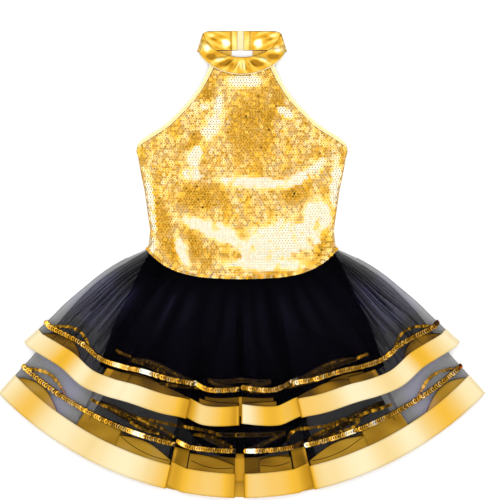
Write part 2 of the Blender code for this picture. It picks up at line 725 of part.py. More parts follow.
def waist_point(upper, share, turn):
    """The bodice's bottom row, just above the upper tier's gathered edge."""
    column = Column(1 if turn is None else 0, share, share, STILL, turn)
    start = seam_radius(share * upper.spans[0].half_angle)
    point = upper.at(column, start, 0.0)
    apex = Vector((0.0, APEX_Y, point.z))
    return point + (apex - point).normalized() * WAIST_GAP


def make_bodice(upper):
    sequins = material("gold sequin cloth", (0.90, 0.60, 0.14), 0.3, metallic=0.8)
    columns = bodice_columns()
    rows = [[neck_point(*column) for column in columns]]
    rows += [[bodice_point(row, *column) for column in columns] for row in BODICE_ROWS]
    rows.append([waist_point(upper, *column) for column in columns])
    cloth("bodice_front", rows, sequins, False)

    right = [(0.0, KEYHOLE_SHOULDER - KEYHOLE_DEPTH)]
    for k in range(1, KEYHOLE_STEPS + 1):
        a = math.radians(90 * k / KEYHOLE_STEPS)
        right.append((KEYHOLE_HALF * math.sin(a), KEYHOLE_SHOULDER - KEYHOLE_DEPTH * math.cos(a)))
    for k in range(NECK_STEPS + 1):
        x = between(KEYHOLE_HALF, BACK_ARMHOLE_TOP[0][0] - SEAM, k / NECK_STEPS)
        right.append((x, collar_back_bottom(x) - SEAM))
    right += [(x - SEAM, y) for x, y in BACK_ARMHOLE_TOP[1:]]
    right += [(row.edge_x - SEAM, row.edge_y - SEAM) for row in BODICE_ROWS[:UNDERARM_ROW]]
    corner = BODICE_ROWS[UNDERARM_ROW]
    right.append((corner.edge_x - UNDERARM_INSET, corner.edge_y - UNDERARM_INSET))
    right += [(row.edge_x + CLOTH / 2, row.edge_y) for row in BODICE_ROWS[UNDERARM_ROW + 1 :]]
    for angle in range(WAIST_ANGLE, 0, -WAIST_STEP):
        point = at_sweep(angle, seam_radius(angle) + BACK_LAP, 0.0)
        right.append((point.x, point.y))
    bottom = at_sweep(0, seam_radius(0) + BACK_LAP, 0.0)
    outline = right + [(0.0, bottom.y)] + [(-x, y) for x, y in reversed(right[1:])]
    flat_piece("bodice_back", outline, sequins)


def binding_stations():
    """The binding on the right, as pairs of its outer and inner edge, from the front neck to the back."""
    neck = neck_point(1, UNDERSIDE)
    across = neck.x + BINDING_WIDTH
    share = across / (COLLAR_HALF_BOTTOM - COLLAR_TURN)
    outer = Vector((across, collar_bottom(share) - SEAM, neck.z))
    stations = [(outer, neck + (outer - neck).normalized() * SEAM)]
    edge = [neck] + [bodice_point(row, 1, UNDERSIDE) for row in BODICE_ROWS[:UNDERARM_ROW]]
    corner = BODICE_ROWS[UNDERARM_ROW]
    underarm = Vector((corner.edge_x, corner.edge_y, UNDERARM_HEIGHT))
    edge.append(underarm)
    for before, here, after in zip(edge, edge[1:], edge[2:]):
        along = (after - before).normalized()
        out = Vector((-along.y, along.x, 0)).normalized()
        stations.append((here + out * (SEAM + BINDING_WIDTH), here + out * SEAM))
    tip = Vector((UNDERARM_TIP_X, UNDERARM_TIP_Y, underarm.z))
    stations.append((tip, underarm + (tip - underarm).normalized() * UNDERARM_GAP))

    middle = (underarm.z + COLLAR_BACK_HEIGHT) / 2
    half = (underarm.z - COLLAR_BACK_HEIGHT) / 2
    outer, inner = stations[-1]
    for turn in TURN_ANGLES:
        a = math.radians(turn)
        shift = Vector((half * math.cos(a), 0, middle + half * math.sin(a) - outer.z))
        stations.append((outer + shift, inner + shift))

    front = stations[1 : len(edge)]
    for outer, inner in reversed(front):
        stations.append(tuple(Vector((*edge.xy, COLLAR_BACK_HEIGHT)) for edge in (outer, inner)))
    for x, y in reversed(BACK_ARMHOLE_TOP):
        inner = Vector((x, y, COLLAR_BACK_HEIGHT))
        stations.append((inner + Vector((BINDING_WIDTH, 0, 0)), inner))
    return stations


def make_bindings():
    satin = material("pale gold binding", (0.95, 0.78, 0.42), 0.3, metallic=0.3)
    for side, name in ((1, "armhole_binding_right"), (-1, "armhole_binding_left")):
        edges = zip(*binding_stations())
        outer, inner = [[Vector((side * point.x, point.y, point.z)) for point in edge] for edge in edges]
        cloth(name, [inner, outer] if side < 0 else [outer, inner], satin, False)


for old in list(bpy.data.objects):
    bpy.data.objects.remove(old)
dress = bpy.data.collections.new(COLLECTION)
bpy.context.scene.collection.children.link(dress)

upper_tier = make_skirt()
make_collar()
make_bodice(upper_tier)
make_bindings()
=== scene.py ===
"""The looks of a child's halter dance dress with a two-tier tutu skirt, laid flat on its back.

X runs across the dress, Y from the hem up to the collar and Z up from the table. The skirt's layers are laid
out round the apex, the centre of the skirt's sweep, by the same sizes as the solids. Sizes are in millimetres
and become metres where a mesh is written.
"""

import math
import random
from collections import namedtuple

import bpy
from mathutils import Matrix, Vector, noise
from mathutils.bvhtree import BVHTree


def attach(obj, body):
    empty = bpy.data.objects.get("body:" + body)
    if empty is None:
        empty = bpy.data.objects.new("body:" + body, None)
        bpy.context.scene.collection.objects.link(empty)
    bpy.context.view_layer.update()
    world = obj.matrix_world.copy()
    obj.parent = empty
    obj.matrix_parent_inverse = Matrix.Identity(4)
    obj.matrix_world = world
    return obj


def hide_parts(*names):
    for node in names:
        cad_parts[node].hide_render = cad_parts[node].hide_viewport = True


METRE = 1000.0

# Cloth and seams
CLOTH, SEAM = 1.0, 0.3
THIN_WALL, TAPE_WALL, BACK_WALL = 0.3, 0.4, 0.5  # how thick the cloths are here, thinner than their solids

# The skirt's sweep: radii are from the apex, angles are from straight down the middle
APEX_Y = 138.6
SEAM_RADIUS, SEAM_RISE, SEAM_TURN = 158.8, 19, 46  # the waist seam, which rises towards the sides
STEADY, INNER_STEADY = 34, 28  # angles up to which the columns run straight out from the apex
SPREAD, LAID_OVER, FLARED = 45, 95, 150  # how far down the gathers, pleats and flare are fully formed
SIDE_STEP, HIDDEN_STEP, FLOOR_STEP = 4, 0.07, 0.5  # shares of the waist that a column takes up
FINER = 5  # columns of cloth for each column of its solid

# Heights of each layer's front and back, and the levels of the pleats above the front
Heights = namedtuple("Heights", "at_waist below")
UPPER_BACK = Heights(1.8, 1.8)
LOWER_BACK = Heights(3.2, 3.2)
INNER_BACK = Heights(4.5, 6.4)
INNER_FRONT = Heights(5.95, 8.05)
LOWER_FRONT = Heights(7.3, 9.4)
UPPER_FRONT = Heights(8.6, 18.4)
UPPER_SIDE_DROP = 5.5  # how much lower the upper tier's front lies at the sides
RIBBON_BACK = 1.8  # height of the lower tier's back where it reaches the table
LOW, FLAT, MID, TOP = 0, 1.2, 4.4, 6.6

# Outlines: radius and half of the angle that the layer spans there
UPPER_SPANS = (
    (176.8, 48.3), (199, 50.4), (223, 51.7), (248, 52.2), (276, 52.1), (314, 51.8), (339, 51.3), (371, 50.9),
    (393, 50.8),
)
LOWER_SPANS = (
    (176.8, 47.8), (199, 49.3), (223, 50.2), (248, 50.8), (273, 50.8), (329, 49.5), (388, 47.7), (414, 47.3),
    (465, 46.7),
)
INNER_SPANS = ((176.8, 46.6), (215, 43.2), (256, 40.2), (287, 38.7), (319, 36.6), (382, 33.8), (410, 33))

# Hems: angle from the middle and radius of the lower edge
UPPER_HEM = (
    (0, 362.5), (8, 366.5), (13, 362), (18, 364), (25.5, 367), (31, 375), (36, 381), (42, 379), (46, 383.5),
    (51, 392.5),
)
LOWER_HEM = ((0, 465), (12, 464.5), (24, 464), (36, 465), (47, 466))
INNER_HEM = ((0, 412), (5, 406), (9, 392), (13, 369), (18, 357), (26, 349), (35, 342))

# Near each side the ribbon and braid fold back under the front in a loop that rises above the hem's own
# ribbon: the shares of the way to the side where the loop starts and ends, and its height
UPPER_LOOP = (0.36, 1, 14)
LOWER_LOOP = (0.22, 1, 15)
LOOP_DEPTH = 1.5  # how far below the front's net it lies

# Parts of the hidden folds' ribbons that show above the front's ribbon: the angle and the distance from the
# hem of one end and of the other, how far the edge between them bows up, and how deep their painted shade is
UPPER_LENSES = (
    (-33.5, 39, -28, 40, 0, 1.1), (-28, 39, -14, 31, 5, 1.2), (-10.3, 34.5, -0.6, 30.5, 1, 1.2),
    (0.5, 31, 8.2, 34, 1, 1.2), (13.6, 30, 26.5, 35, 7, 1.2), (26.5, 38, 33, 38, 0, 1.1),
)
LOWER_LENSES = (
    (-32.5, 60, -24.4, 58, 0, 0.78), (-24.4, 50, -13.6, 41, 10, 0.68), (-13.4, 60, -10.4, 60, 0, 1),
    (-10.2, 56, -1.5, 46, 4, 0.92), (-1.2, 62, 0.4, 62, 0, 1.1), (3.4, 53, 9.4, 52, 3, 0.96),
    (9.7, 62, 12.6, 62, 0, 1), (12.9, 41.5, 24.2, 50, 10, 0.7), (24.2, 58, 32.5, 60, 0, 0.8),
)
# Fine dark lines across the hidden lower ribbons, in the terms of the lenses
LOWER_ARCS = (
    (-24, 49, -13.8, 39.5, -4), (-9.8, 46, -1.7, 42, -4), (3.6, 45, 9.2, 45, -3), (13.2, 40, 24, 49, -4),
)
# Where the net of a fold under the front closes the gap between two pleats, in the same terms
LOWER_VEILS = ((-14.2, 100, -9, 100, 0), (9.2, 100, 14.2, 100, 0))

# Braids on the hidden folds, as they show through the front's net: points of the plan
UPPER_STRANDS = (
    ((-174, -120), (-167, -125), (-155, -128)),
    ((-114, -166), (-80, -171), (-44, -173), (-6, -175)),
    ((2, -176), (30, -178), (52, -175)),
    ((155, -134), (165, -129), (174, -126)),
    ((60, -172), (88, -166), (112, -160)),
)
LOWER_STRANDS = (
    ((-210, -189), (-197, -196), (-182, -202), (-167, -209), (-160, -214)),
    ((-160, -212), (-152, -223), (-136, -231), (-116, -237)),
    ((-150, -211), (-132, -222), (-114, -228), (-95, -241)),
    ((-140, -215), (-112, -221), (-80, -227), (-50, -232), (-30, -239)),
    ((-66, -238), (-49, -240), (-32, -246), (-14, -255)),
    ((208, -196), (192, -202), (171, -208), (162, -214)),
    ((163, -218), (145, -217), (127, -226), (106, -236), (92, -246)),
    ((142, -216), (121, -224), (98, -228), (77, -231), (67, -237), (64, -246)),
    ((163, -214), (158, -226), (133, -236), (112, -243)),
)
# Painted shade, a deeper gold, on each tier's hidden parts: its strands, its loops' ribbon and their braid
UPPER_HIDDEN_PAINTED_SHADE = (0.75, 1.15, 0.4)
LOWER_HIDDEN_PAINTED_SHADE = (0.48, 0.64, 0.2)
HIDDEN_DEPTH, STRAND_DEPTH = 1, 2.2  # how far below the front's net hidden ribbons and braids lie

# Dark strips along edges: width of a curved one, width at a pleat, and how far they lie above the cloth
FOLD_EDGE, PLEAT_EDGE, EDGE_LIFT = 0.9, 0.8, 0.35
STRIP_STEPS = 24  # steps along each loop, lens and fold
VEIL_DROP = 0.6  # how much lower than the hidden ribbons the net between two pleats lies

# Folds of the net at each side: the share of the way to the side at the waist and at the hem, half of the
# fold's width and how far down it reaches
TUCKS = (
    (0.705, 0.7, 4.2, 0.99), (0.745, 0.735, 2.4, 0.97), (0.78, 0.765, 4.6, 0.84), (0.82, 0.8, 1.8, 0.76),
    (0.85, 0.838, 3.4, 0.9), (0.89, 0.872, 1.4, 0.97), (0.925, 0.905, 2.4, 0.66), (0.962, 0.945, 1.2, 0.8),
)
FINE_TUCKS, FINE_TUCK_SEED = 30, 20  # fine pressed edges at each side, beside the folds
SIDE_LINES = ((0.93, 0.955, 0.75, 1.13), (0.885, 0.9, 0.6, 1.13))  # the longest edges, from waist to ribbon

# Trims: how wide they are and how far their upper edges lie from the hem
UPPER_RIBBON, LOWER_RIBBON, RIBBON_OVERLAP = 27, 34, 5
BRAID_WIDTH = 6.5
RIBBON_LIFT, BRAID_LIFT = 1.1, 0.9  # how far they lie above the net
UPPER_BRAID = ((0, 53.5), (20, 52), (36, 49.5), (51, 44.5))
LOWER_BRAID = ((0, 69), (20, 65), (36, 59.5), (47, 54))

# Pleats, from left to right
Run = namedtuple("Run", "start end height_start height_end drawn_up_start drawn_up_end columns")
UPPER_RUNS = [Run(*row) for row in (
    (-34, -23.6, LOW, TOP, 0, 0, 5), (-23.6, -12.6, TOP, TOP, 0, 0, 5), (-12.6, -30, MID, FLAT, 0, 13, 2),
    (-30, -12.6, LOW, LOW, 13, 2, 3), (-12.6, -9.4, LOW, TOP, 2, 0, 2), (-9.4, -0.8, TOP, TOP, 0, 0, 4),
    (-0.8, -9.2, MID, MID, 0, 12, 1), (-9.2, 7.8, LOW, LOW, 12, 12, 3), (7.8, 0, MID, MID, 12, 2, 1),
    (0, 8.2, TOP, TOP, 2, 0, 4), (8.2, 13.4, TOP, LOW, 0, 2, 2), (13.4, 30.5, LOW, LOW, 2, 13, 3),
    (30.5, 13.4, FLAT, MID, 13, 0, 2), (13.4, 24.1, TOP, TOP, 0, 0, 5), (24.1, 34, TOP, LOW, 0, 0, 5),
)]
LOWER_RUNS = [Run(*row) for row in (
    (-34, -26.4, LOW, TOP, 0, 0, 4), (-26.4, -13.4, TOP, TOP, 0, 0, 6), (-13.4, -31, MID, FLAT, 0, 20, 2),
    (-31, -13.4, LOW, LOW, 20, 5, 3), (-13.4, -10.4, LOW, TOP, 5, 0, 2), (-10.4, -1.4, TOP, TOP, 0, 0, 4),
    (-1.4, -10.2, MID, MID, 0, 22, 1), (-10.2, 9.6, LOW, LOW, 22, 22, 3), (9.6, 0.5, MID, MID, 22, 0, 1),
    (0.5, 9.8, TOP, TOP, 0, 0, 4), (9.8, 12.7, TOP, LOW, 0, 5, 2), (12.7, 31, LOW, LOW, 5, 20, 3),
    (31, 12.7, FLAT, MID, 20, 0, 2), (12.7, 25.6, TOP, TOP, 0, 0, 6), (25.6, 34, TOP, LOW, 0, 0, 4),
)]
DRAWN_HUMP = 4  # how much further the deep hidden folds are drawn up between their edges
FOLD_STEPS = 8  # columns round a fold
SIDE_COLUMNS, SIDE_SHARE = 16, 0.9  # columns between the pleats and a side, and where they start at the least
TURN_ANGLES = tuple(72.0 - 18.0 * k for k in range(9))  # columns round a side, from front to back

# Lengths down the cloth, where the lower tier's back passes the upper hem and reaches the table, and how wide
# each layer's round turn at the sides is at the waist and at the hem
UPPER_LENGTH, LOWER_LENGTH, INNER_LENGTH = 206, 300, 240
UPPER_HEM_DOWN, ON_TABLE_DOWN = 214, 232
UPPER_TURNS = (6, 8)
LOWER_TURNS = (4.5, 5)
INNER_TURNS = (0.75, 0.85)

# Creases of the backs, angle and height, and gathers below the waist
BACK_CREASES = ((-28, 1.6), (-18, 2), (-8, 1.4), (4, 2), (14, 1.7), (26, 1.9))
CREASE_REACH = 4
BACK_STEP, INNER_STEP = 0.5, 1
GATHER_HEIGHT, GATHER_PITCH, GATHER_SWAY, GATHER_SWAY_RATE = 1.5, 7.1, 1.1, 0.21

# Soft pressed folds that all the front layers share: angle, half width and height at the hem
SOFT_FOLDS = (
    (-44, 3.2, 1.2), (-38.5, 2.4, 1.7), (-31, 2.8, 1.1), (-27.2, 1.5, 1.5), (-20.4, 2.6, 1),
    (-16.6, 1.4, 1.4), (-6.6, 1.7, 1.2), (-3.4, 1.3, 0.8), (3.2, 1.6, 1.3), (6.4, 1.4, 0.9), (16.2, 1.8, 1),
    (19.8, 1.5, 1.5), (25.8, 2.3, 1.1), (32.6, 2.6, 1.6), (39.6, 3, 1.3), (45.2, 2.2, 1),
)

# The collar
COLLAR_HALF_BOTTOM, COLLAR_HALF_TOP = 63, 55.3
COLLAR_SIDE_BOTTOM, COLLAR_SIDE_TOP = 296.8, 318.5
COLLAR_FRONT_BOTTOM, COLLAR_FRONT_TOP = 265.3, 289.1
COLLAR_BACK_BOTTOM, COLLAR_BACK_TOP, COLLAR_BACK_CORNER = 299, 326.2, 324
COLLAR_BOTTOM_CURVE, COLLAR_TOP_CURVE = 0.72, 0.64
COLLAR_TURN = 3
COLLAR_SIDE_HEIGHT, COLLAR_ARCH, COLLAR_BACK_HEIGHT = 3.7, 5.5, 0.5
COLLAR_OPENING_LEFT, COLLAR_OPENING_RIGHT = -7, 2.8
COLLAR_FRONT_COLUMNS, COLLAR_BACK_COLUMNS, COLLAR_ROWS = 96, 40, 18

# The bodice, a row for each line of its cloth from the neck down
BodiceRow = namedtuple("BodiceRow", "edge_x edge_y middle_y edge_height middle_height turn_height turn_width")
BODICE_ROWS = [BodiceRow(*row) for row in (
    (49.3, 254.4, 243, 6.2, 8.4, 0, 1), (63, 233.1, 219, 5, 7.3, 0, 1), (81.8, 211.8, 196, 3.9, 6.2, 0, 1),
    (104, 190.8, 174, 3.1, 5.4, 0, 1), (134.4, 171.2, 153, 2.4, 4.8, 0, 1),
    (147.2, 160.8, 137, 1.3, 4.6, 1.4, 1.6), (144.3, 145.6, 118, 1.3, 4.6, 1.9, 2.6),
    (140.6, 124.6, 95, 1.3, 4.6, 2.2, 3.2), (135.5, 100.8, 69, 1.3, 4.6, 2.4, 3.6),
    (131.6, 72, 41, 1.3, 4.9, 2.8, 4), (128, 47, 15, 1.3, 6.2, 3.8, 4.6), (129.6, 32, -5, 1.3, 7.8, 5.6, 5.4),
)]
BODICE_COLUMNS = 30
BODICE_BOW = 2.2
NECK_EDGE = 37.8
WAIST_GAP = 0.45
BACK_LAP = 2.5
KEYHOLE_HALF, KEYHOLE_SHOULDER, KEYHOLE_DEPTH = 14.7, 262, 22
BINDING_WIDTH = 5.6
UNDERARM_TIP_X, UNDERARM_TIP_Y, UNDERARM_ROW, UNDERARM_HEIGHT = 143.4, 170.4, 5, 2.2
UNDERARM_GAP, UNDERARM_INSET = 1.6, 0.8
BACK_LEVEL = 0.6
NECK_ROLL = 0.75  # radius of the rolled edge between the collar and the front
BACK_ARMHOLE_TOP = ((44.6, 296.4), (39.6, 285), (39.9, 272))

# Sequins: pitch, radius, width of the flat rim and depth of the dimple
SEQUIN_PITCH, SEQUIN_RADIUS, SEQUIN_RIM, SEQUIN_DISH = 4.2, 2.08, 0.85, 0.4
BRAID_SEQUIN_PITCH, BRAID_SEQUIN_RADIUS, BRAID_SEQUIN_RIM, BRAID_SEQUIN_DISH = 3.3, 3.6, 1, 0.5
SEQUIN_LIFT, BRAID_SEQUIN_LIFT = 0.75, 1.25  # how far they lie above their cloth
BRAID_SEQUIN_TONES = (0.25, 0.4, 0.5, 0.6, 0.7, 0.85)

# The picture's frame: one picture pixel is 1.4 mm and its centre lies here
CAMERA_X, CAMERA_Y, CAMERA_HEIGHT = 1.4, 19.6, 4000.0
PICTURE_WIDTH = 680.4
SENSOR = 36.0

# The studio, in metres: one large panel above, an even light from all round, and a pale table
PANEL_SIZE, PANEL_HEIGHT, PANEL_RADIANCE = 3.0, 2.2, 1.4
STUDIO_LIGHT = 0.95
TABLE_SIZE, TABLE_DROP, TABLE_WHITE = 6.0, 0.0003, 0.93


def between(a, b, t):
    return a + (b - a) * t


def eased(value, start, end):
    """0 before start, 1 after end and a smooth rise from one to the other."""
    t = min(max((value - start) / (end - start), 0.0), 1.0)
    return t * t * (3.0 - 2.0 * t)


def smooth(a, slope_a, b, slope_b, width, t):
    """The smooth curve from a to b with these slopes at its ends, for numbers or for points."""
    return (
        a * (2 * t**3 - 3 * t**2 + 1) + slope_a * width * (t**3 - 2 * t**2 + t)
        + b * (3 * t**2 - 2 * t**3) + slope_b * width * (t**3 - t**2)
    )


def through(table, at):
    """The smooth curve through a table's first two columns, read at one place."""
    rows = [(row[0], row[1]) for row in table]
    at = min(max(at, rows[0][0]), rows[-1][0])
    i = next(k for k in range(len(rows) - 1) if at <= rows[k + 1][0])
    slopes = []
    for k in (i, i + 1):
        before, after = rows[max(k - 1, 0)], rows[min(k + 1, len(rows) - 1)]
        slopes.append((after[1] - before[1]) / (after[0] - before[0]))
    (x0, y0), (x1, y1) = rows[i], rows[i + 1]
    return smooth(y0, slopes[0], y1, slopes[1], x1 - x0, (at - x0) / (x1 - x0))


def seam_radius(angle):
    turn = min(abs(angle) / SEAM_TURN, 1.0)
    return SEAM_RADIUS + SEAM_RISE * math.sin(turn * math.pi / 2) ** 2.3


def at_sweep(angle, radius, height):
    a = math.radians(angle)
    return Vector((radius * math.sin(a), APEX_Y - radius * math.cos(a), height))


def gather(angle, down):
    wave = math.sin(angle * 2 * math.pi / GATHER_PITCH + GATHER_SWAY * math.sin(angle * GATHER_SWAY_RATE))
    return GATHER_HEIGHT * (0.5 + 0.5 * wave) * eased(down, 0, SPREAD) * (1 - eased(down, SPREAD, FLARED))


def bump_sum(table, angle, reach=1.0):
    """The height of a row of rounded ridges, each given by its angle, half width and height."""
    height = 0.0
    for middle, half, rise in table:
        away = abs(angle - middle) / (half * reach)
        if away < 1:
            height += rise * (0.5 + 0.5 * math.cos(math.pi * away))
    return height


def back_crease(angle, down):
    ridges = [(middle, CREASE_REACH, rise) for middle, rise in BACK_CREASES]
    return bump_sum(ridges, angle) * eased(down, 0, LAID_OVER)


def soft_folds(angle, down):
    """The shared folds of the front layers, with a fine unevenness along the cloth."""
    grown = eased(down, 0, LAID_OVER)
    fold = bump_sum(SOFT_FOLDS, angle, 1.2)
    uneven = 0.5 + 0.5 * noise.noise(Vector((angle * 0.55, down * 0.012, 4.0)))
    return grown * (fold * between(0.7, 1.3, uneven) + 0.5 * uneven)


Line = namedtuple("Line", "angle shift height drawn_up seen drop stepped")
Column = namedtuple("Column", "face waist reach line turn")
STILL = Line(STEADY, 0.0, 0.0, 0.0, True, 0.0, 0.0)
FOLD_DROP, RUN_DROP, SOLID_FOLD_STEPS = 0.15, 1.0, 3


def fold_lines(left, right):
    """The lines round a fold from one run to the next: a half circle between their two heights."""
    middle = (left.height_end + right.height_start) / 2
    half = (left.height_end - right.height_start) / 2
    outward = 1 if left.end > left.start else -1
    drop = FOLD_DROP * SOLID_FOLD_STEPS / FOLD_STEPS
    for step in range(1, FOLD_STEPS + 1):
        a = math.radians(90 - 180 * step / (FOLD_STEPS + 1))
        shift = outward * abs(half) * (math.cos(a) - 1)
        yield Line(left.end, shift, middle + half * math.sin(a), left.drawn_up_end, False, drop, 0.0)


def stepped_lines(lines):
    """The same lines, each stretch of hidden ones stepping from the line before it to the one after."""
    found = []
    for k, line in enumerate(lines):
        first = last = k
        while lines[first].drop:
            first -= 1
        while lines[last].drop:
            last += 1
        drops = [lines[j].drop or FOLD_DROP for j in range(first + 1, last + 1)]
        share = sum(drops[: k - first]) / sum(drops) if line.drop else 0.0
        found.append(line._replace(stepped=between(lines[first].height, lines[last].height, share)))
    return found


def pleated_lines(runs):
    """The lines of a pleated front, from the first run's start to the last one's end."""
    found = [STILL._replace(angle=runs[0].start)]
    for k, run in enumerate(runs):
        after = runs[k + 1] if k + 1 < len(runs) else None
        before = runs[k - 1] if k else None
        folds = after is not None and (after.end > after.start) != (run.end > run.start)
        folded = before is not None and (before.end > before.start) != (run.end > run.start)
        going = 1 if run.end > run.start else -1
        seen = going > 0 and max(run.height_start, run.height_end) > LOW
        start_shift = going * abs(run.height_start - before.height_end) / 2 if folded else 0.0
        end_shift = -going * abs(run.height_end - after.height_start) / 2 if folds else 0.0
        columns = run.columns * FINER * (2 if run.columns == 1 else 1)
        for step in range(0 if folded else 1, columns + 1):
            t = step / columns
            angle = between(run.start, run.end, t)
            height = between(run.height_start, run.height_end, eased(t, 0, 1))
            drawn_up = between(run.drawn_up_start, run.drawn_up_end, t)
            if going < 0 and FLAT in (run.height_start, run.height_end):
                away = t if run.height_end == FLAT else 1 - t
                drawn_up = max(run.drawn_up_start, run.drawn_up_end) * math.sin(math.pi / 2 * away)
                drawn_up += DRAWN_HUMP * math.sin(math.pi * t)
            shift = between(start_shift, end_shift, t)
            drop = 0.0 if going > 0 else RUN_DROP / columns if step else FOLD_DROP / columns
            found.append(Line(angle, shift, height, drawn_up, seen, drop, 0.0))
        if folds:
            found.extend(fold_lines(run, after))
    return stepped_lines(found)


def plain_lines(half, step):
    count = round(2 * half / step)
    return [STILL._replace(angle=between(-half, half, k / count)) for k in range(count + 1)]


def face_columns(face, lines):
    """All of one face's columns from left to right: those near the left side, the middle ones, the right."""
    rows = [(-1 + k / SIDE_COLUMNS, STILL) for k in range(SIDE_COLUMNS)]
    rows += [(0.0, line) for line in lines]
    rows += [((k + 1) / SIDE_COLUMNS, STILL) for k in range(SIDE_COLUMNS)]
    places = [0.0]
    for (reach_before, before), (reach, line) in zip(rows, rows[1:]):
        step = (HIDDEN_STEP if line.drop else FLOOR_STEP) / FINER
        step = max(line.angle - before.angle, HIDDEN_STEP / FINER) if line.seen else step
        places.append(places[-1] + (SIDE_STEP * 4 / SIDE_COLUMNS if reach_before or reach else step))
    shares = [2 * place / places[-1] - 1 for place in places]
    return [Column(face, share, reach, line, None) for share, (reach, line) in zip(shares, rows)]


def ring_columns(front_lines, back_lines):
    """Columns all round a flattened layer: front from left to right, right side, back, left side."""
    front = face_columns(1, front_lines)
    back = face_columns(-1, back_lines)
    right = [Column(0, 1, 1, STILL, turn) for turn in TURN_ANGLES]
    left = [Column(0, -1, -1, STILL, turn) for turn in TURN_ANGLES]
    return front + right + back[::-1] + left[::-1]


class Layer:
    """One layer of the skirt, a flattened tube of cloth laid out round the apex."""

    def __init__(self, columns, spans, hem, front, back, turn_waist, turn_hem, length):
        self.columns = columns
        self.spans = spans
        self.hem = hem
        self.front = front
        self.back = back
        self.turn_waist = turn_waist
        self.turn_hem = turn_hem
        self.length = length

    def front_height(self, angle, down):
        return between(self.front.at_waist, self.front.below, eased(down, 0, SPREAD))

    def back_height(self, down):
        return between(self.back.at_waist, self.back.below, eased(down, 0, SPREAD))

    def crease(self, angle, down):
        return back_crease(angle, down)

    def gathered(self, angle, down):
        return gather(angle, down)

    def turn_width(self, down):
        return between(self.turn_waist, self.turn_hem, eased(down, 0, 120))

    def limit(self, radius, down):
        return through(self.spans, radius) - math.degrees(self.turn_width(down) / radius)

    def hem_angle(self, column):
        if column.reach:
            return between(STEADY, self.spans[-1][1], abs(column.reach))
        return abs(column.line.angle)

    def hem_radius(self, column):
        return through(self.hem, self.hem_angle(column)) - column.line.drawn_up

    def point(self, column, down, short_of_hem):
        start = seam_radius(column.waist * self.spans[0][1])
        end = self.hem_radius(column) - short_of_hem
        radius = between(start, end, down / (self.length - short_of_hem))
        return self.at(column, radius, down)

    def folds(self, angle, down, limit):
        """The front's shared soft folds, which end before the round turn at each side."""
        return soft_folds(angle, down) * (1 - eased(abs(angle), limit - 5, limit))

    def at(self, column, radius, down):
        limit = self.limit(radius, down)
        if column.turn is not None:
            return self.turn_point(column, radius, down, limit)
        line, laid = column.line, eased(down, SPREAD, LAID_OVER)
        if column.reach:
            steady = min(STEADY, limit * SIDE_SHARE)
            angle = math.copysign(between(steady, limit, abs(column.reach)), column.reach)
        else:
            angle = line.angle
        angle = between(column.waist * limit, angle, eased(down, SPREAD, FLARED))
        angle += math.degrees(line.shift / radius) * laid
        if column.face > 0:
            height = self.front_height(angle, down) + self.gathered(angle, down)
            height += between(line.stepped, line.height, laid) * eased(down, 0, SPREAD)
            height += self.folds(angle, down, limit)
        else:
            height = self.back_height(down) + self.crease(angle, down)
        return at_sweep(angle, radius, height)

    def turn_point(self, column, radius, down, limit):
        top = self.front_height(limit, down) + self.gathered(column.reach * limit, down)
        bottom = self.back_height(down)
        a = math.radians(column.turn)
        angle = limit + math.degrees(self.turn_width(down) * math.cos(a) / radius)
        height = (top + bottom) / 2 + (top - bottom) / 2 * math.sin(a)
        return at_sweep(column.reach * angle, radius, height)

    def rows(self, count, short_of_hem=0.0):
        length = self.length - short_of_hem
        downs = [length * k / count for k in range(count + 1)]
        return [[self.point(column, down, short_of_hem) for column in self.columns] for down in downs]

    def strip(self, upper_edge, width, count):
        """Rows of a trim that follows the hem, from its upper edge's distance to the hem."""
        rows = []
        for k in range(count + 1):
            row = []
            for column in self.columns:
                edge = through(upper_edge, self.hem_angle(column)) - width * k / count
                row.append(self.at(column, self.hem_radius(column) - edge, self.length - edge))
            rows.append(row)
        return rows


class UpperTier(Layer):
    def front_height(self, angle, down):
        drop = UPPER_SIDE_DROP * min(abs(angle) / self.spans[-1][1], 1) ** 4
        return between(self.front.at_waist, self.front.below - drop, eased(down, 0, SPREAD))


class LowerTier(Layer):
    def back_height(self, down):
        return between(self.back.below, RIBBON_BACK, eased(down, UPPER_HEM_DOWN, ON_TABLE_DOWN))


class InnerSkirt(Layer):
    def crease(self, angle, down):
        return 0.0

    def gathered(self, angle, down):
        return 0.0


def normals_of(rows, closed):
    """The cloth's outward direction at each point of its rows."""
    count = len(rows[0])
    found = []
    for i, row in enumerate(rows):
        above, below = rows[max(i - 1, 0)], rows[min(i + 1, len(rows) - 1)]
        line = []
        for j, point in enumerate(row):
            before = row[(j - 1) % count] if closed else row[max(j - 1, 0)]
            after = row[(j + 1) % count] if closed else row[min(j + 1, count - 1)]
            in_edge, out_edge = (point - before).normalized(), (after - point).normalized()
            along = (in_edge + out_edge).normalized() if (in_edge + out_edge).length > 1e-6 else out_edge
            line.append((below[j] - above[j]).cross(along).normalized())
        found.append(line)
    return found


def moved_out(rows, distance, closed=True):
    """The same rows on the cloth's outer side. The distance is a number, or a function of row and column."""
    normals = normals_of(rows, closed)
    far = distance if callable(distance) else lambda i, j: distance
    return [[p + normals[i][j] * far(i, j) for j, p in enumerate(row)] for i, row in enumerate(rows)]


def smooth_rows(rows, per_row):
    """More rows between the given ones, on a smooth curve through each column."""
    found = []
    for i in range(len(rows) - 1):
        a, b, c, d = rows[max(i - 1, 0)], rows[i], rows[i + 1], rows[min(i + 2, len(rows) - 1)]
        for k in range(per_row):
            row = []
            for p0, p1, p2, p3 in zip(a, b, c, d):
                s1 = (p2 - p0) / max((p1 - p0).length + (p2 - p1).length, 1e-6)
                s2 = (p3 - p1) / max((p2 - p1).length + (p3 - p2).length, 1e-6)
                row.append(smooth(p1, s1, p2, s2, (p2 - p1).length, k / per_row))
            found.append(row)
    return found + [rows[-1]]


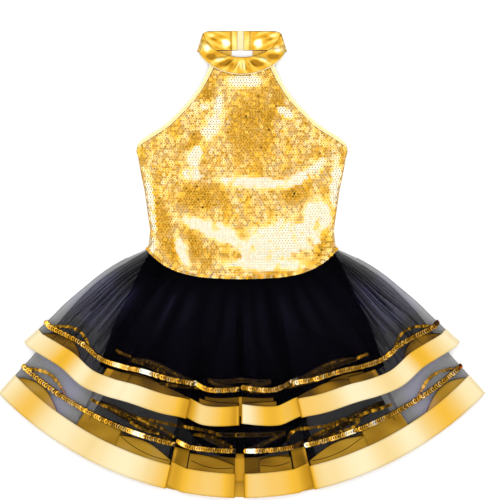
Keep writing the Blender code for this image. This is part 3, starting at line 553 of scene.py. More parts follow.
def grid(down, across, point_at):
    """Rows of points, from a function of the share of the way down and the share of the way across."""
    return [[point_at(k / down, j / across) for j in range(across + 1)] for k in range(down + 1)]


def direction(line, k):
    """Which way a line of points runs at one of them."""
    return (line[min(k + 1, len(line) - 1)] - line[max(k - 1, 0)]).normalized()


def quads(rows, columns, closed=False):
    """The faces of a sheet of so many rows and columns of points, open or closed to a tube."""
    faces = []
    for i in range(rows - 1):
        for j in range(columns if closed else columns - 1):
            k = (j + 1) % columns
            faces.append((i * columns + j, (i + 1) * columns + j, (i + 1) * columns + k, i * columns + k))
    return faces


def mesh_of(name, points, faces, finish):
    mesh = bpy.data.meshes.new(name)
    mesh.from_pydata([point / METRE for point in points], [], faces)
    mesh.materials.append(finish)
    mesh.shade_smooth()
    return mesh


def with_tone(mesh, tones):
    """Gives each point of a mesh its tone, which its material reads as a shade of its colour."""
    layer = mesh.attributes.new("tone", "FLOAT", "POINT")
    layer.data.foreach_set("value", tones)


def place(mesh, node, slot, wall=0.0):
    """Puts a mesh in the scene as the piece that stands for a node, or as one more piece beside it."""
    piece = bpy.data.objects.new(mesh.name, mesh)
    bpy.context.scene.collection.objects.link(piece)
    if wall:
        shell = piece.modifiers.new("Cloth wall", "SOLIDIFY")
        shell.thickness = wall / METRE
        shell.offset = 0.0
    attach(piece, "root")
    if node:
        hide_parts(node)
    return piece


def cloth(name, rows, finish, closed, tone=None):
    """A sheet on rows of points, with a map of its cloth in metres and a tone for each point."""
    count = len(rows[0])
    mesh = mesh_of(name, [point for row in rows for point in row], quads(len(rows), count, closed), finish)
    middle = rows[len(rows) // 2]
    along = [0.0]
    for j in range(1, count + 1):
        along.append(along[-1] + (middle[j % count] - middle[j - 1]).length / METRE)
    down = [0.0]
    for i in range(1, len(rows)):
        down.append(down[-1] + (rows[i][count // 4] - rows[i - 1][count // 4]).length / METRE)
    places = []
    for i in range(len(rows) - 1):
        for j in range(count if closed else count - 1):
            for across, below in ((j, i), (j, i + 1), (j + 1, i + 1), (j + 1, i)):
                places += [along[across], -down[below]]
    mesh.uv_layers.new(name="cloth").data.foreach_set("uv", places)
    with_tone(mesh, [tone(i, j) if tone else 0.5 for i in range(len(rows)) for j in range(count)])
    return mesh


class Finish:
    """A material of nodes built up around one Principled shader."""

    def __init__(self, name, **sockets):
        self.made = bpy.data.materials.new(name)
        self.made.use_nodes = True
        self.tree = self.made.node_tree
        self.shader = self.tree.nodes["Principled BSDF"]
        for socket, value in sockets.items():
            title = socket.replace("_", " ").title().replace("Ior", "IOR")
            self.shader.inputs[title].default_value = value

    def node(self, kind, **values):
        made = self.tree.nodes.new(kind)
        for key, value in values.items():
            if key in made.inputs:
                made.inputs[key].default_value = value
            else:
                setattr(made, key, value)
        return made

    def join(self, start, end):
        self.tree.links.new(start, end)

    def coordinates(self, kind, scale=(1.0, 1.0, 1.0)):
        """Places on the piece: UV for its own cloth map or Object for its own space, stretched by a scale."""
        source = self.node("ShaderNodeTexCoord")
        mapping = self.node("ShaderNodeMapping", Scale=scale)
        self.join(source.outputs[kind], mapping.inputs["Vector"])
        return mapping.outputs["Vector"]

    def noise(self, kind, scale, detail=2.0, stretch=(1.0, 1.0, 1.0)):
        texture = self.node("ShaderNodeTexNoise", Scale=scale, Detail=detail)
        self.join(self.coordinates(kind, stretch), texture.inputs["Vector"])
        return texture.outputs["Fac"]

    def maths(self, operation, a, b):
        made = self.node("ShaderNodeMath", operation=operation)
        for socket, value in zip(made.inputs, (a, b)):
            if isinstance(value, (int, float)):
                socket.default_value = value
            else:
                self.join(value, socket)
        return made.outputs[0]

    def uneven_tone(self, texture, amount, middle=0.5):
        """The tone of each point, made a little higher and lower by a texture."""
        tone = self.node("ShaderNodeAttribute", attribute_name="tone").outputs["Fac"]
        change = self.maths("MULTIPLY", self.maths("SUBTRACT", texture, middle), amount)
        return self.maths("ADD", tone, change)

    def ramp(self, value, *stops):
        made = self.node("ShaderNodeValToRGB")
        elements = made.color_ramp.elements
        while len(elements) < len(stops):
            elements.new(0.5)
        for element, (position, colour) in zip(elements, stops):
            element.position = position
            element.color = (*colour, 1.0)
        self.join(value, made.inputs["Fac"])
        return made.outputs["Color"]

    def colour(self, value):
        self.join(value, self.shader.inputs["Base Color"])

    def bump(self, height, strength, distance):
        """One bump after another, the earlier ones feeding the later."""
        made = self.node("ShaderNodeBump", Strength=strength, Distance=distance / METRE)
        self.join(height, made.inputs["Height"])
        before = self.shader.inputs["Normal"].links
        if before:
            self.join(before[0].from_socket, made.inputs["Normal"])
        self.join(made.outputs["Normal"], self.shader.inputs["Normal"])


# How much of what lies behind it each part of the net hides
NET_STRENGTH, FOLD_STRENGTH, EDGE_STRENGTH = 0.32, 0.4, 0.8


def net_finish(name, strength):
    """Fine stiff black net: black where many layers lie together, a bluish grey where it is thin."""
    finish = Finish(name, roughness=0.8, alpha=strength, specular_ior_level=0.02)
    finish.colour(finish.ramp(
        finish.uneven_tone(finish.noise("UV", 900.0, 3.0), 0.3),
        (0.0, (0.0006, 0.0005, 0.0012)),
        (0.5, (0.006, 0.005, 0.011)),
        (1.0, (0.085, 0.080, 0.19)),
    ))
    return finish.made


def lining_finish():
    finish = Finish("Black lining", roughness=0.8, specular_ior_level=0.03)
    grain = finish.noise("UV", 1500.0, 2.0)
    finish.colour(finish.ramp(grain, (0.3, (0.0005, 0.0004, 0.0009)), (0.8, (0.0016, 0.0014, 0.0024))))
    finish.bump(grain, 0.2, 0.1)
    return finish.made


def satin_finish():
    """Gold satin: pale where it faces the light; its tone paints light and shade into the colour, a pale
    highlight where low and a deep shaded gold where high.
    """
    finish = Finish("Gold satin ribbon", roughness=0.36, metallic=0.1, specular_ior_level=0.1,
                    anisotropic=0.4)
    value = finish.uneven_tone(finish.noise("UV", 15.0, 2.0, (1.0, 0.25, 1.0)), 0.3)
    finish.colour(finish.ramp(
        finish.maths("MULTIPLY", value, 0.8),
        (0.0, (0.69, 0.59, 0.37)),
        (0.24, (0.63, 0.47, 0.20)),
        (0.52, (0.62, 0.34, 0.022)),
        (0.8, (0.40, 0.19, 0.002)),
        (1.0, (0.12, 0.055, 0.002)),
    ))
    finish.bump(finish.noise("UV", 30.0, 2.0, (1.0, 0.3, 1.0)), 0.2, 1.0)
    finish.bump(finish.noise("UV", 2500.0, 1.0, (0.15, 1.0, 1.0)), 0.15, 0.1)
    return finish.made


def sequin_finish():
    """Polished gold sequins, each with its tone and a darker dimple at the stitch. The tone carries painted
    light: near white as a painted highlight, deep amber as painted shade.
    """
    finish = Finish("Gold sequins", metallic=1.0, roughness=0.2)
    finish.colour(finish.ramp(
        finish.maths("MULTIPLY", finish.uneven_tone(finish.noise("Object", 400.0, 1.0), 0.2), 0.8),
        (0.0, (0.58, 0.59, 0.50)),
        (0.16, (0.83, 0.56, 0.23)),
        (0.36, (0.79, 0.43, 0.060)),
        (0.56, (0.69, 0.34, 0.014)),
        (0.8, (0.29, 0.14, 0.008)),
        (1.0, (0.05, 0.024, 0.004)),
    ))
    return finish.made


def sequin_cloth_finish():
    """The ground cloth between the sequins and, on the back, small sequins pressed flat."""
    finish = Finish("Gold sequin cloth", metallic=0.5, roughness=0.5, specular_ior_level=0.2)
    cells = finish.node("ShaderNodeTexVoronoi", Scale=METRE / SEQUIN_PITCH, Randomness=0.25)
    finish.join(finish.coordinates("Object"), cells.inputs["Vector"])
    finish.colour(finish.ramp(
        cells.outputs["Distance"],
        (0.0, (0.20, 0.09, 0.01)),
        (0.14, (0.56, 0.30, 0.03)),
        (0.5, (0.60, 0.36, 0.06)),
        (0.75, (0.24, 0.11, 0.012)),
    ))
    finish.bump(cells.outputs["Distance"], 0.6, 0.4)
    return finish.made


def braid_ground_finish():
    """The dark tape that a braid's sequins are threaded on."""
    finish = Finish("Braid ground", roughness=0.7, specular_ior_level=0.2)
    weave = finish.noise("UV", 1200.0, 2.0)
    finish.colour(finish.ramp(weave, (0.3, (0.020, 0.010, 0.003)), (0.75, (0.10, 0.055, 0.010))))
    finish.bump(weave, 0.3, 0.15)
    return finish.made


def foil_finish():
    """Shiny gold foil cloth, finely crumpled."""
    finish = Finish("Gold foil cloth", metallic=0.9, roughness=0.26)
    finish.colour(finish.ramp(
        finish.uneven_tone(finish.noise("Object", 90.0, 4.0), 0.6, 0.2),
        (0.0, (0.74, 0.68, 0.46)),
        (0.3, (0.65, 0.46, 0.15)),
        (0.55, (0.54, 0.32, 0.04)),
        (0.8, (0.42, 0.21, 0.010)),
        (1.0, (0.22, 0.10, 0.003)),
    ))
    finish.bump(finish.noise("Object", 110.0, 4.0), 0.35, 1.2)
    finish.bump(finish.noise("Object", 1800.0, 2.0), 0.15, 0.12)
    return finish.made


def binding_finish():
    finish = Finish("Pale gold binding", roughness=0.36, metallic=0.25, sheen_weight=0.1,
                    specular_ior_level=0.5)
    finish.colour(finish.ramp(
        finish.uneven_tone(finish.noise("UV", 120.0, 3.0, (1.0, 0.4, 1.0)), 0.4),
        (0.0, (0.86, 0.78, 0.50)),
        (0.45, (0.74, 0.55, 0.19)),
        (1.0, (0.50, 0.31, 0.05)),
    ))
    finish.bump(finish.noise("UV", 380.0, 2.0, (1.0, 0.3, 1.0)), 0.4, 0.5)
    return finish.made


def tape_finish():
    finish = Finish("Cream tape", roughness=0.85, specular_ior_level=0.2)
    weave = finish.node("ShaderNodeTexWave", Scale=900.0, Distortion=0.6)
    finish.join(finish.coordinates("Object"), weave.inputs["Vector"])
    finish.colour(finish.ramp(weave.outputs["Fac"], (0.0, (0.70, 0.56, 0.27)), (1.0, (0.86, 0.74, 0.44))))
    finish.bump(weave.outputs["Fac"], 0.3, 0.15)
    return finish.made


# Painted light and shade of each ribbon along the hem, by angle: a low tone is a pale painted highlight, a
# high one a deep gold painted shade
UPPER_RIBBON_PAINTED_LIGHT = (
    (-51, 0.05), (-47, 0.35), (-43, 0.70), (-38, 0.05), (-35, 0.30), (-30, 0.02), (-25, 0.10), (-20, 0.42),
    (-15, 0.62), (-12.6, 0.92), (-9.5, 0.38), (-6, 0.52), (-3, 0.78), (-1, 0.95), (-0.4, 0.20), (1.5, 0.10),
    (4, 0.50), (6.5, 0.74), (10, 0.60), (13, 0.70), (14, 0.55), (20, 0.40), (27, 0.02), (35, 0.30),
    (39, 0.10), (43, 0.68), (47, 0.40), (51, 0.05),
)
LOWER_RIBBON_PAINTED_LIGHT = (
    (-47, 0.05), (-42, 0.60), (-38, 0.22), (-34, 0.02), (-28, 0.28), (-22, 0.02), (-18, 0.20), (-14, 0.55),
    (-12, 0.80), (-9, 0.54), (-4, 0.54), (-0.8, 0.95), (0.2, 0.90), (1, 0.50), (6, 0.54), (10, 0.70),
    (12.4, 0.92), (13.4, 0.42), (18, 0.18), (22, 0.02), (27, 0.28), (32, 0.02), (36, 0.42), (40.5, 0.60),
    (45, 0.15), (47, 0.05),
)
# Painted shade of the ribbon in the folds under the front and inside the back, and of a braid's sequins in
# the folds
FOLDED_RIBBON_PAINTED_SHADE, BACK_RIBBON_PAINTED_SHADE, HIDDEN_SHADE = 0.95, 0.8, 0.6

# What each tier's folds and trims are made from, with its ribbon's painted light and its hidden parts'
# painted shade, and the sides that have fine pressed edges
Tier = namedtuple(
    "Tier", "name runs ribbon braid tones loop strands lenses arcs veils tucks fine_sides hidden seed"
)
TIERS = (
    Tier("upper", UPPER_RUNS, UPPER_RIBBON, UPPER_BRAID, UPPER_RIBBON_PAINTED_LIGHT, UPPER_LOOP, UPPER_STRANDS, UPPER_LENSES,
         (), (), TUCKS, (-1, 1), UPPER_HIDDEN_PAINTED_SHADE, 3),
    Tier("lower", LOWER_RUNS, LOWER_RIBBON, LOWER_BRAID, LOWER_RIBBON_PAINTED_LIGHT, LOWER_LOOP, LOWER_STRANDS, LOWER_LENSES,
         LOWER_ARCS, LOWER_VEILS, TUCKS[::3], (), LOWER_HIDDEN_PAINTED_SHADE, 4),
)


def is_hidden(column):
    """Whether a column of the front lies in a fold under it."""
    return column.line.drop or not column.line.seen and not column.reach


def ribbon_tone(layer, tones):
    """Painted shade in the folds and inside the back, and painted light and shade from the table where the
    ribbon shows.
    """
    def read(i, j):
        column = layer.columns[j]
        if column.face < 0:
            return BACK_RIBBON_PAINTED_SHADE
        if is_hidden(column):
            return FOLDED_RIBBON_PAINTED_SHADE
        return through(tones, math.copysign(layer.hem_angle(column), column.reach or column.line.angle))
    return read


# Where the net at the sides looks thin: the angles over which that sets in on each tier, how far down it does
# so, and where it ends again over the loops of ribbon: distances from the hem and angles
UPPER_THIN, LOWER_THIN, THIN_DOWN = (37, 42), (33, 36), (30, 90)
LOOP_START, LOOP_FULL, LOOP_ANGLES = 62, 46, (38, 41)
CREST_TONE, THIN_TONE = 0.42, 0.7


def net_tone(layer, rows):
    """Lighter on the crests of the folds, which catch the light."""
    count = len(rows) - 1
    def read(i, j):
        column = layer.columns[j]
        down = layer.length * i / count
        point = rows[i][j]
        angle = math.degrees(math.atan2(point.x, APEX_Y - point.y))
        if isinstance(layer, LowerTier):
            clear = eased(down, UPPER_HEM_DOWN - 24, UPPER_HEM_DOWN)
            thin = eased(abs(angle), *LOWER_THIN) * between(0.4, 1.0, clear)
        else:
            thin = 0.8 * eased(abs(angle), *UPPER_THIN)
        near_loop = eased(down, layer.length - LOOP_START, layer.length - LOOP_FULL)
        near_loop *= eased(abs(angle), *LOOP_ANGLES)
        thin *= eased(down, *THIN_DOWN) * between(1.0, 0.3, near_loop)
        if column.face <= 0:
            return between(0.1, 0.9, thin)
        crest = gather(angle, down) / GATHER_HEIGHT + 0.45 * soft_folds(angle, down) / 1.5
        return min(0.03 + CREST_TONE * crest, 0.6) + THIN_TONE * thin
    return read


def make_sequin(radius, rim, dish):
    """One sequin of eight sides: a flat rim round a dished middle. Returns its points and faces."""
    bpy.ops.mesh.primitive_circle_add(vertices=8, radius=radius / METRE, fill_type="NGON")
    sequin = bpy.context.object
    bpy.ops.object.mode_set(mode="EDIT")
    bpy.ops.mesh.select_all(action="SELECT")
    bpy.ops.mesh.inset(thickness=rim / METRE)
    bpy.ops.mesh.poke(offset=-dish / METRE)
    bpy.ops.object.mode_set(mode="OBJECT")
    points = [vertex.co * METRE for vertex in sequin.data.vertices]
    faces = [tuple(face.vertices) for face in sequin.data.polygons]
    bpy.data.objects.remove(sequin)
    return points, faces


# How much deeper than its tone a sequin is at its edge, at the rim of its dimple and at the stitch. On the
# bodice the edge is a little lighter, a faint painted highlight; on the braid the edge carries painted shade
# where the discs overlap and the dimple's rim a painted highlight
SEQUIN_SHADES = (-0.06, 0.0, 2.6)
BRAID_PAINTED_SHADE_AND_HIGHLIGHT = (0.32, -0.1, 0.4)
LOWEST = 0.1  # sequins of the back are pressed flat on the table, at this height


def sewn_on(name, sequin, spots, shades, finish):
    """Copies of a sequin as one mesh. A spot is its place, the way it faces, its turn, size and tone."""
    template, template_faces = sequin
    reach = max(point.xy.length for point in template)
    deeper = []
    for point in template:
        away = point.xy.length / reach
        deeper.append(shades[0] if away > 0.9 else shades[1] if away > 0.1 else shades[2])
    points, faces, tones = [], [], []
    for spot, facing, turn, size, tone in spots:
        turned = facing.to_track_quat("Z", "Y").to_matrix() @ Matrix.Rotation(turn, 3, "Z")
        start = len(points)
        for point, shade in zip(template, deeper):
            points.append(spot + turned @ (point * size))
            points[-1].z = max(points[-1].z, LOWEST)
            tones.append(tone + (shade * max(1 - tone, 0) ** 2 if shade > 0.35 else shade))
        faces += [tuple(start + k for k in face) for face in template_faces]
    mesh = mesh_of(name, points, faces, finish)
    mesh.shade_flat()
    with_tone(mesh, tones)
    return mesh


def hidden_shades(layer):
    """Painted shade on a braid's sequins at each column of a layer: a lot in the folds under the front."""
    return [HIDDEN_SHADE if is_hidden(column) else 0.0 for column in layer.columns]


def braid_spots(rows, closed, seed, deeper=0.0, shades=None):
    """Places for overlapping sequins along the middle of a braid, smaller and rougher where they lie in
    painted shade. Where they glint they lean towards the light above and their tone is lighter, a painted
    highlight.
    """
    rnd = random.Random(seed)
    line = moved_out(rows, BRAID_SEQUIN_LIFT, closed)
    middle, outward = line[1], normals_of(line, closed)[1]
    spots, travelled, next_at = [], 0.0, 0.0
    for j in range(len(middle) - (0 if closed else 1)):
        k = (j + 1) % len(middle)
        a, b = middle[j], middle[k]
        length = (b - a).length
        while next_at <= travelled + length and length:
            t = (next_at - travelled) / length
            facing = outward[j].lerp(outward[k], t)
            along = (b - a).normalized()
            glint = eased(noise.noise(Vector((next_at * 0.03, seed, 0.0))), 0.12, 0.42)
            lean = along * rnd.uniform(0.3, 0.5) + facing.cross(along) * rnd.uniform(-0.4, 0.4)
            lean *= between(1.0, 0.3, glint)
            shade = deeper + (shades[j] if shades else 0.0)
            tone = rnd.choice(BRAID_SEQUIN_TONES) + (shade if shade else -0.65 * glint)
            size = rnd.uniform(0.45, 0.8) if shade else 1.0
            spot = a.lerp(b, t) + facing.cross(along) * rnd.uniform(-1.2, 1.2) * (1 - size)
            spots.append((spot, (facing + lean).normalized(), rnd.uniform(0, 0.8), size, tone))
            next_at += BRAID_SEQUIN_PITCH * size
        travelled += length
    return spots


def loop_rows(layer, loop, from_hem, width, side, count):
    """Rows of a strip that folds back under the front near a side, raised above its place in the hem."""
    start, end, height = loop

    def point_at(down, t):
        column = Column(1, side, side * between(end, start, t), STILL, None)
        rise = height * math.sin(math.pi * (1 - t) ** 1.1) ** 0.8 if 0 < t < 1 else 0.0
        edge = through(from_hem, layer.hem_angle(column)) + rise - width * down
        point = layer.at(column, layer.hem_radius(column) - edge, layer.length - edge)
        return point - Vector((0, 0, LOOP_DEPTH))
    return [row[::side] for row in grid(count, STRIP_STEPS, point_at)]


def seen_height(runs, angle):
    """How high a tier's front stands above its layer at an angle, with its pleats."""
    for run in runs:
        if run.start <= angle <= run.end and max(run.height_start, run.height_end) > LOW:
            return between(run.height_start, run.height_end, eased(angle, run.start, run.end))
    return LOW


def under_front(layer, runs, x, y, depth):
    """The point at a place in plan that lies a little below the front's net."""
    angle = math.degrees(math.atan2(x, APEX_Y - y))
    radius = math.hypot(x, APEX_Y - y)
    down = layer.length - through(layer.hem, abs(angle)) + radius
    height = layer.front_height(angle, down) + layer.folds(angle, down, layer.limit(radius, down))
    return Vector((x, y, height + max(seen_height(runs, angle) - depth, 0.5)))


def strand_rows(layer, runs, path):
    """Rows of a braid under the front's net, through points of the plan."""
    points = [Vector((x, y, 0.0)) for x, y in path]
    spine = [row[0] for row in smooth_rows([[point] for point in points], 6)]
    rows = [[], [], []]
    for k, point in enumerate(spine):
        along = direction(spine, k)
        out = Vector((-along.y, along.x, 0.0)) * BRAID_WIDTH / 2
        for row, spot in zip(rows, (point + out, point, point - out)):
            row.append(under_front(layer, runs, spot.x, spot.y, STRAND_DEPTH))
    return rows


def lens_rows(layer, runs, lens, ribbon):
    """Rows of the part of a hidden fold's ribbon that shows above the front one, its top edge bowed."""
    angle_start, edge_start, angle_end, edge_end, bow = lens

    def point_at(down, t):
        angle = between(angle_start, angle_end, t)
        edge = between(edge_start, edge_end, t) + bow * math.sin(math.pi * t)
        edge = between(edge, ribbon - 4, down)
        spot = at_sweep(angle, through(layer.hem, abs(angle)) - edge, 0.0)
        return under_front(layer, runs, spot.x, spot.y, HIDDEN_DEPTH)
    return grid(5, STRIP_STEPS, point_at)


def edge_rows(line):
    """A narrow dark strip along a line of points, just above it: the edge where cloth turns back."""
    up = Vector((0, 0, 1))
    upper, lower = [], []
    for k, point in enumerate(line):
        out = direction(line, k).cross(up).normalized() * FOLD_EDGE / 2
        upper.append(point - out + up * EDGE_LIFT)
        lower.append(point + out + up * EDGE_LIFT)
    return [upper, lower]


def strips(name, patches, finish, patch_tones):
    """Several open strips of cloth as one mesh, each with its tone, which is a little uneven."""
    points, faces, tones = [], [], []
    for rows, tone in zip(patches, patch_tones):
        start = len(points)
        faces += [tuple(start + k for k in face) for face in quads(len(rows), len(rows[0]))]
        points += [point for row in rows for point in row]
        for point in points[start:]:
            tones.append(tone + 0.3 * noise.noise(Vector((point.x * 0.03, point.y * 0.06, 2.0))))
    mesh = mesh_of(name, points, faces, finish)
    places = [value / METRE for face in faces for k in face for value in points[k].xy]
    mesh.uv_layers.new(name="cloth").data.foreach_set("uv", places)
    with_tone(mesh, tones)
    return mesh


def tuck_rows(layer, tuck, side, uneven):
    """One tuck: a narrow strip on the front net, widest below the waist, raised along its middle."""
    at_waist, at_hem, half, reach = tuck
    rows = []
    for k in range(STRIP_STEPS + 1):
        t = between(0.02, reach * 0.86, k / STRIP_STEPS)
        down = layer.length * t
        share = between(at_waist, at_hem, t) + uneven * math.sin(2.2 * math.pi * t + 9 * at_waist) * 0.006
        radius = between(seam_radius(share * layer.spans[0][1]), through(layer.hem, share * 50), t)
        limit = layer.limit(radius, down)
        wide = half * (0.3 + 0.7 * math.sin(math.pi * min(t / 0.9, 1) ** 0.7))
        row = []
        for j in (-1, 0, 1):
            angle = share * limit + math.degrees(j * wide / radius)
            height = layer.front_height(angle, down) + layer.gathered(side * angle, down)
            height += layer.folds(side * angle, down, limit) + EDGE_LIFT + 0.25 * (1 - abs(j))
            row.append(at_sweep(side * angle, radius, height))
        rows.append(row[::side])
    return rows


def fine_tucks(seed):
    """Fine pressed edges of the net, denser towards the middle and near the waist."""
    rnd = random.Random(seed)
    found = []
    for k in range(FINE_TUCKS):
        at_waist = between(0.69, 0.99, ((k + rnd.random()) / FINE_TUCKS) ** 1.25)
        at_hem = at_waist + rnd.uniform(-0.035, 0.02)
        found.append((at_waist, at_hem, rnd.uniform(0.28, 0.6), rnd.uniform(0.45, 1.0)))
    return found


def fold_edge_rows(layer, runs, overhang):
    """Dark narrow strips along the edges where the pleats turn back."""
    patches = []
    for left, right in zip(runs, runs[1:]):
        if (left.end > left.start) == (right.end > right.start):
            continue
        height = max(left.height_end, right.height_start) + EDGE_LIFT
        line = Line(left.end, 0.0, height, left.drawn_up_end, False, 0.0, 0.0)
        column = Column(1, 0.0, 0.0, line, None)
        hem = layer.hem_radius(column)
        inward = -PLEAT_EDGE if left.end > left.start else PLEAT_EDGE
        rows = []
        for k in range(13):
            down = between(FLARED, layer.length - overhang, k / 12)
            point = layer.at(column, hem - (layer.length - down), down)
            rows.append([point + Vector((x, 0, 0)) for x in sorted((0.0, inward))])
        patches.append(rows)
    return patches


def side_edges(layer, overhang):
    """Dark narrow strips along the two outer edges of a tier, where its front turns to its back."""
    rows = layer.rows(40, overhang)[6:]
    lines = [[pick(row, key=lambda point: point.x) for row in rows] for pick in (min, max)]
    return [edge_rows(line) for line in lines]


def all_along(distance):
    """The table of an edge that is equally far from the hem everywhere."""
    return ((0.0, distance), (90.0, distance))


def make_folds(tier, layer, finishes):
    """The folds of a tier's net at its sides, and the dark edges where it turns back."""
    overhang = tier.ribbon - RIBBON_OVERLAP
    name = tier.name + "_tier"

    def both_ways(tucks, sides):
        return [tuck_rows(layer, tuck, side, 1 + 0.6 * side) for tuck in tucks for side in sides]
    patches = both_ways(tier.tucks, (-1, 1))
    mesh = strips(name + "_tucks", patches, finishes["tucks"], [0.1] * len(patches))
    pieces = {name + "_tucks": place(mesh, None, "black_net")}
    patches = fold_edge_rows(layer, tier.runs, overhang)
    for side in tier.fine_sides:
        patches += both_ways(fine_tucks(FINE_TUCK_SEED + side) + list(SIDE_LINES), (side,))
    for veil in tier.veils:
        rows = lens_rows(layer, tier.runs, veil, tier.ribbon)
        patches.append([[point - Vector((0, 0, VEIL_DROP)) for point in row] for row in rows])
    patches += side_edges(layer, overhang)
    mesh = strips(name + "_fold_edges", patches, finishes["fold edges"], [0.0] * len(patches))
    pieces[name + "_fold_edges"] = place(mesh, None, "black_net")
    return pieces


def make_trims(tier, layer, sequin, finishes):
    """A tier's ribbon and sequin braid, and those of the folds under its front."""
    strand_shade, loop_shade, loop_braid_shade = tier.hidden
    rows = moved_out(layer.strip(all_along(tier.ribbon), tier.ribbon, 10), RIBBON_LIFT)
    mesh = cloth(tier.name + "_ribbon_satin", rows, finishes["satin"], True, ribbon_tone(layer, tier.tones))
    pieces = {tier.name + "_ribbon": place(mesh, tier.name + "_ribbon", "gold_satin_ribbon", THIN_WALL)}
    braid = layer.strip(tier.braid, BRAID_WIDTH, 2)
    mesh = cloth(tier.name + "_braid_ground", moved_out(braid, BRAID_LIFT), finishes["braid ground"], True)
    pieces[tier.name + "_braid"] = place(mesh, tier.name + "_sequin_braid", "gold_sequin_braid")

    spots = braid_spots(braid, True, tier.seed, 0.0, hidden_shades(layer))
    for side in (-1, 1):
        rows = loop_rows(layer, tier.loop, tier.braid, BRAID_WIDTH, side, 2)
        spots += braid_spots(rows, False, tier.seed + 10, loop_braid_shade)
    for strand, path in enumerate(tier.strands):
        rows = strand_rows(layer, tier.runs, path)
        spots += braid_spots(rows, False, tier.seed + 20 + strand, strand_shade)
    mesh = sewn_on(tier.name + "_braid_sequins", sequin, spots, BRAID_PAINTED_SHADE_AND_HIGHLIGHT, finishes["sequins"])
    pieces[tier.name + "_braid_sequins"] = place(mesh, None, "gold_sequin_braid")

    upper_edge = all_along(tier.ribbon)
    patches = [loop_rows(layer, tier.loop, upper_edge, tier.ribbon - 3, side, 6) for side in (-1, 1)]
    patches += [lens_rows(layer, tier.runs, lens[:5], tier.ribbon) for lens in tier.lenses]
    shades = [loop_shade, loop_shade] + [lens[5] for lens in tier.lenses]
    edges = [edge_rows(rows[0]) for rows in patches]
    edges += [edge_rows(lens_rows(layer, tier.runs, arc, tier.ribbon)[0]) for arc in tier.arcs]
    mesh = strips(tier.name + "_hidden_ribbon", patches, finishes["satin"], shades)
    pieces[tier.name + "_hidden"] = place(mesh, None, "gold_satin_ribbon", THIN_WALL)
    mesh = strips(tier.name + "_hidden_edges", edges, finishes["fold edges"], [0.0] * len(edges))
    pieces[tier.name + "_hidden_edges"] = place(mesh, None, "black_net")
    return pieces


def make_skirt(finishes):
    """All pieces of the skirt by name, after the upper tier's layer, which the bodice is sewn to."""
    back, inner_lines = plain_lines(STEADY, BACK_STEP), plain_lines(INNER_STEADY, INNER_STEP)
    upper = UpperTier(
        ring_columns(pleated_lines(UPPER_RUNS), back),
        UPPER_SPANS, UPPER_HEM, UPPER_FRONT, UPPER_BACK, *UPPER_TURNS, UPPER_LENGTH,
    )
    lower = LowerTier(
        ring_columns(pleated_lines(LOWER_RUNS), back),
        LOWER_SPANS, LOWER_HEM, LOWER_FRONT, LOWER_BACK, *LOWER_TURNS, LOWER_LENGTH,
    )
    inner = InnerSkirt(
        ring_columns(inner_lines, inner_lines),
        INNER_SPANS, INNER_HEM, INNER_FRONT, INNER_BACK, *INNER_TURNS, INNER_LENGTH,
    )
    pieces = {}
    for name, layer, overhang, count, finish, slot in (
        ("upper_tier", upper, UPPER_RIBBON - RIBBON_OVERLAP, 44, finishes["upper net"], "black_net"),
        ("lower_tier", lower, LOWER_RIBBON - RIBBON_OVERLAP, 56, finishes["lower net"], "black_net"),
        ("inner_skirt", inner, 0.0, 40, finishes["lining"], "black_lining"),
    ):
        rows = layer.rows(count, overhang)
        mesh = cloth(name + "_cloth", rows, finish, True, net_tone(layer, rows))
        pieces[name] = place(mesh, name, slot)
    tiers = list(zip(TIERS, (upper, lower)))
    for tier, layer in tiers:
        pieces.update(make_folds(tier, layer, finishes))
    sequin = make_sequin(BRAID_SEQUIN_RADIUS, BRAID_SEQUIN_RIM, BRAID_SEQUIN_DISH)
    for tier, layer in tiers:
        pieces.update(make_trims(tier, layer, sequin, finishes))
    return upper, pieces


def collar_front_height(share):
    return COLLAR_SIDE_HEIGHT + COLLAR_ARCH * (1 - share * share) ** 0.75


def collar_bottom(share):
    rise = 1 - (1 - share * share) ** COLLAR_BOTTOM_CURVE
    return between(COLLAR_FRONT_BOTTOM, COLLAR_SIDE_BOTTOM, rise)


def collar_top(share):
    rise = 1 - (1 - share * share) ** COLLAR_TOP_CURVE
    return between(COLLAR_FRONT_TOP, COLLAR_SIDE_TOP, rise)


def collar_back_bottom(x):
    fall = (COLLAR_BACK_BOTTOM - COLLAR_SIDE_BOTTOM) * (x / COLLAR_HALF_BOTTOM) ** 2
    return COLLAR_BACK_BOTTOM - fall


def collar_back_top(x):
    share = min(abs(x) / (COLLAR_HALF_TOP - COLLAR_TURN), 1.0)
    return between(COLLAR_BACK_CORNER, COLLAR_BACK_TOP, (1 - share**8) ** 0.5)


def collar_column_front(share):
    height = collar_front_height(share)
    half_top, half_bottom = COLLAR_HALF_TOP - COLLAR_TURN, COLLAR_HALF_BOTTOM - COLLAR_TURN
    top = Vector((share * half_top, collar_top(share), height))
    bottom = Vector((share * half_bottom, collar_bottom(share), height))
    return top, bottom


def collar_column_back(x_bottom):
    share = x_bottom / COLLAR_HALF_BOTTOM
    x_top = between(x_bottom, share * COLLAR_HALF_TOP, abs(share))
    top = Vector((x_top, collar_back_top(x_top), COLLAR_BACK_HEIGHT))
    bottom = Vector((x_bottom, collar_back_bottom(x_bottom), COLLAR_BACK_HEIGHT))
    return top, bottom


def collar_column_turn(side, turn):
    a = math.radians(turn)
    middle = (COLLAR_SIDE_HEIGHT + COLLAR_BACK_HEIGHT) / 2
    height = middle + (COLLAR_SIDE_HEIGHT - COLLAR_BACK_HEIGHT) / 2 * math.sin(a)
    out = COLLAR_TURN * (math.cos(a) - 1)
    top_y = between(COLLAR_SIDE_TOP, COLLAR_BACK_CORNER, (90 - turn) / 180)
    top = Vector((side * (COLLAR_HALF_TOP + out), top_y, height))
    bottom = Vector((side * (COLLAR_HALF_BOTTOM + out), COLLAR_SIDE_BOTTOM, height))
    return top, bottom


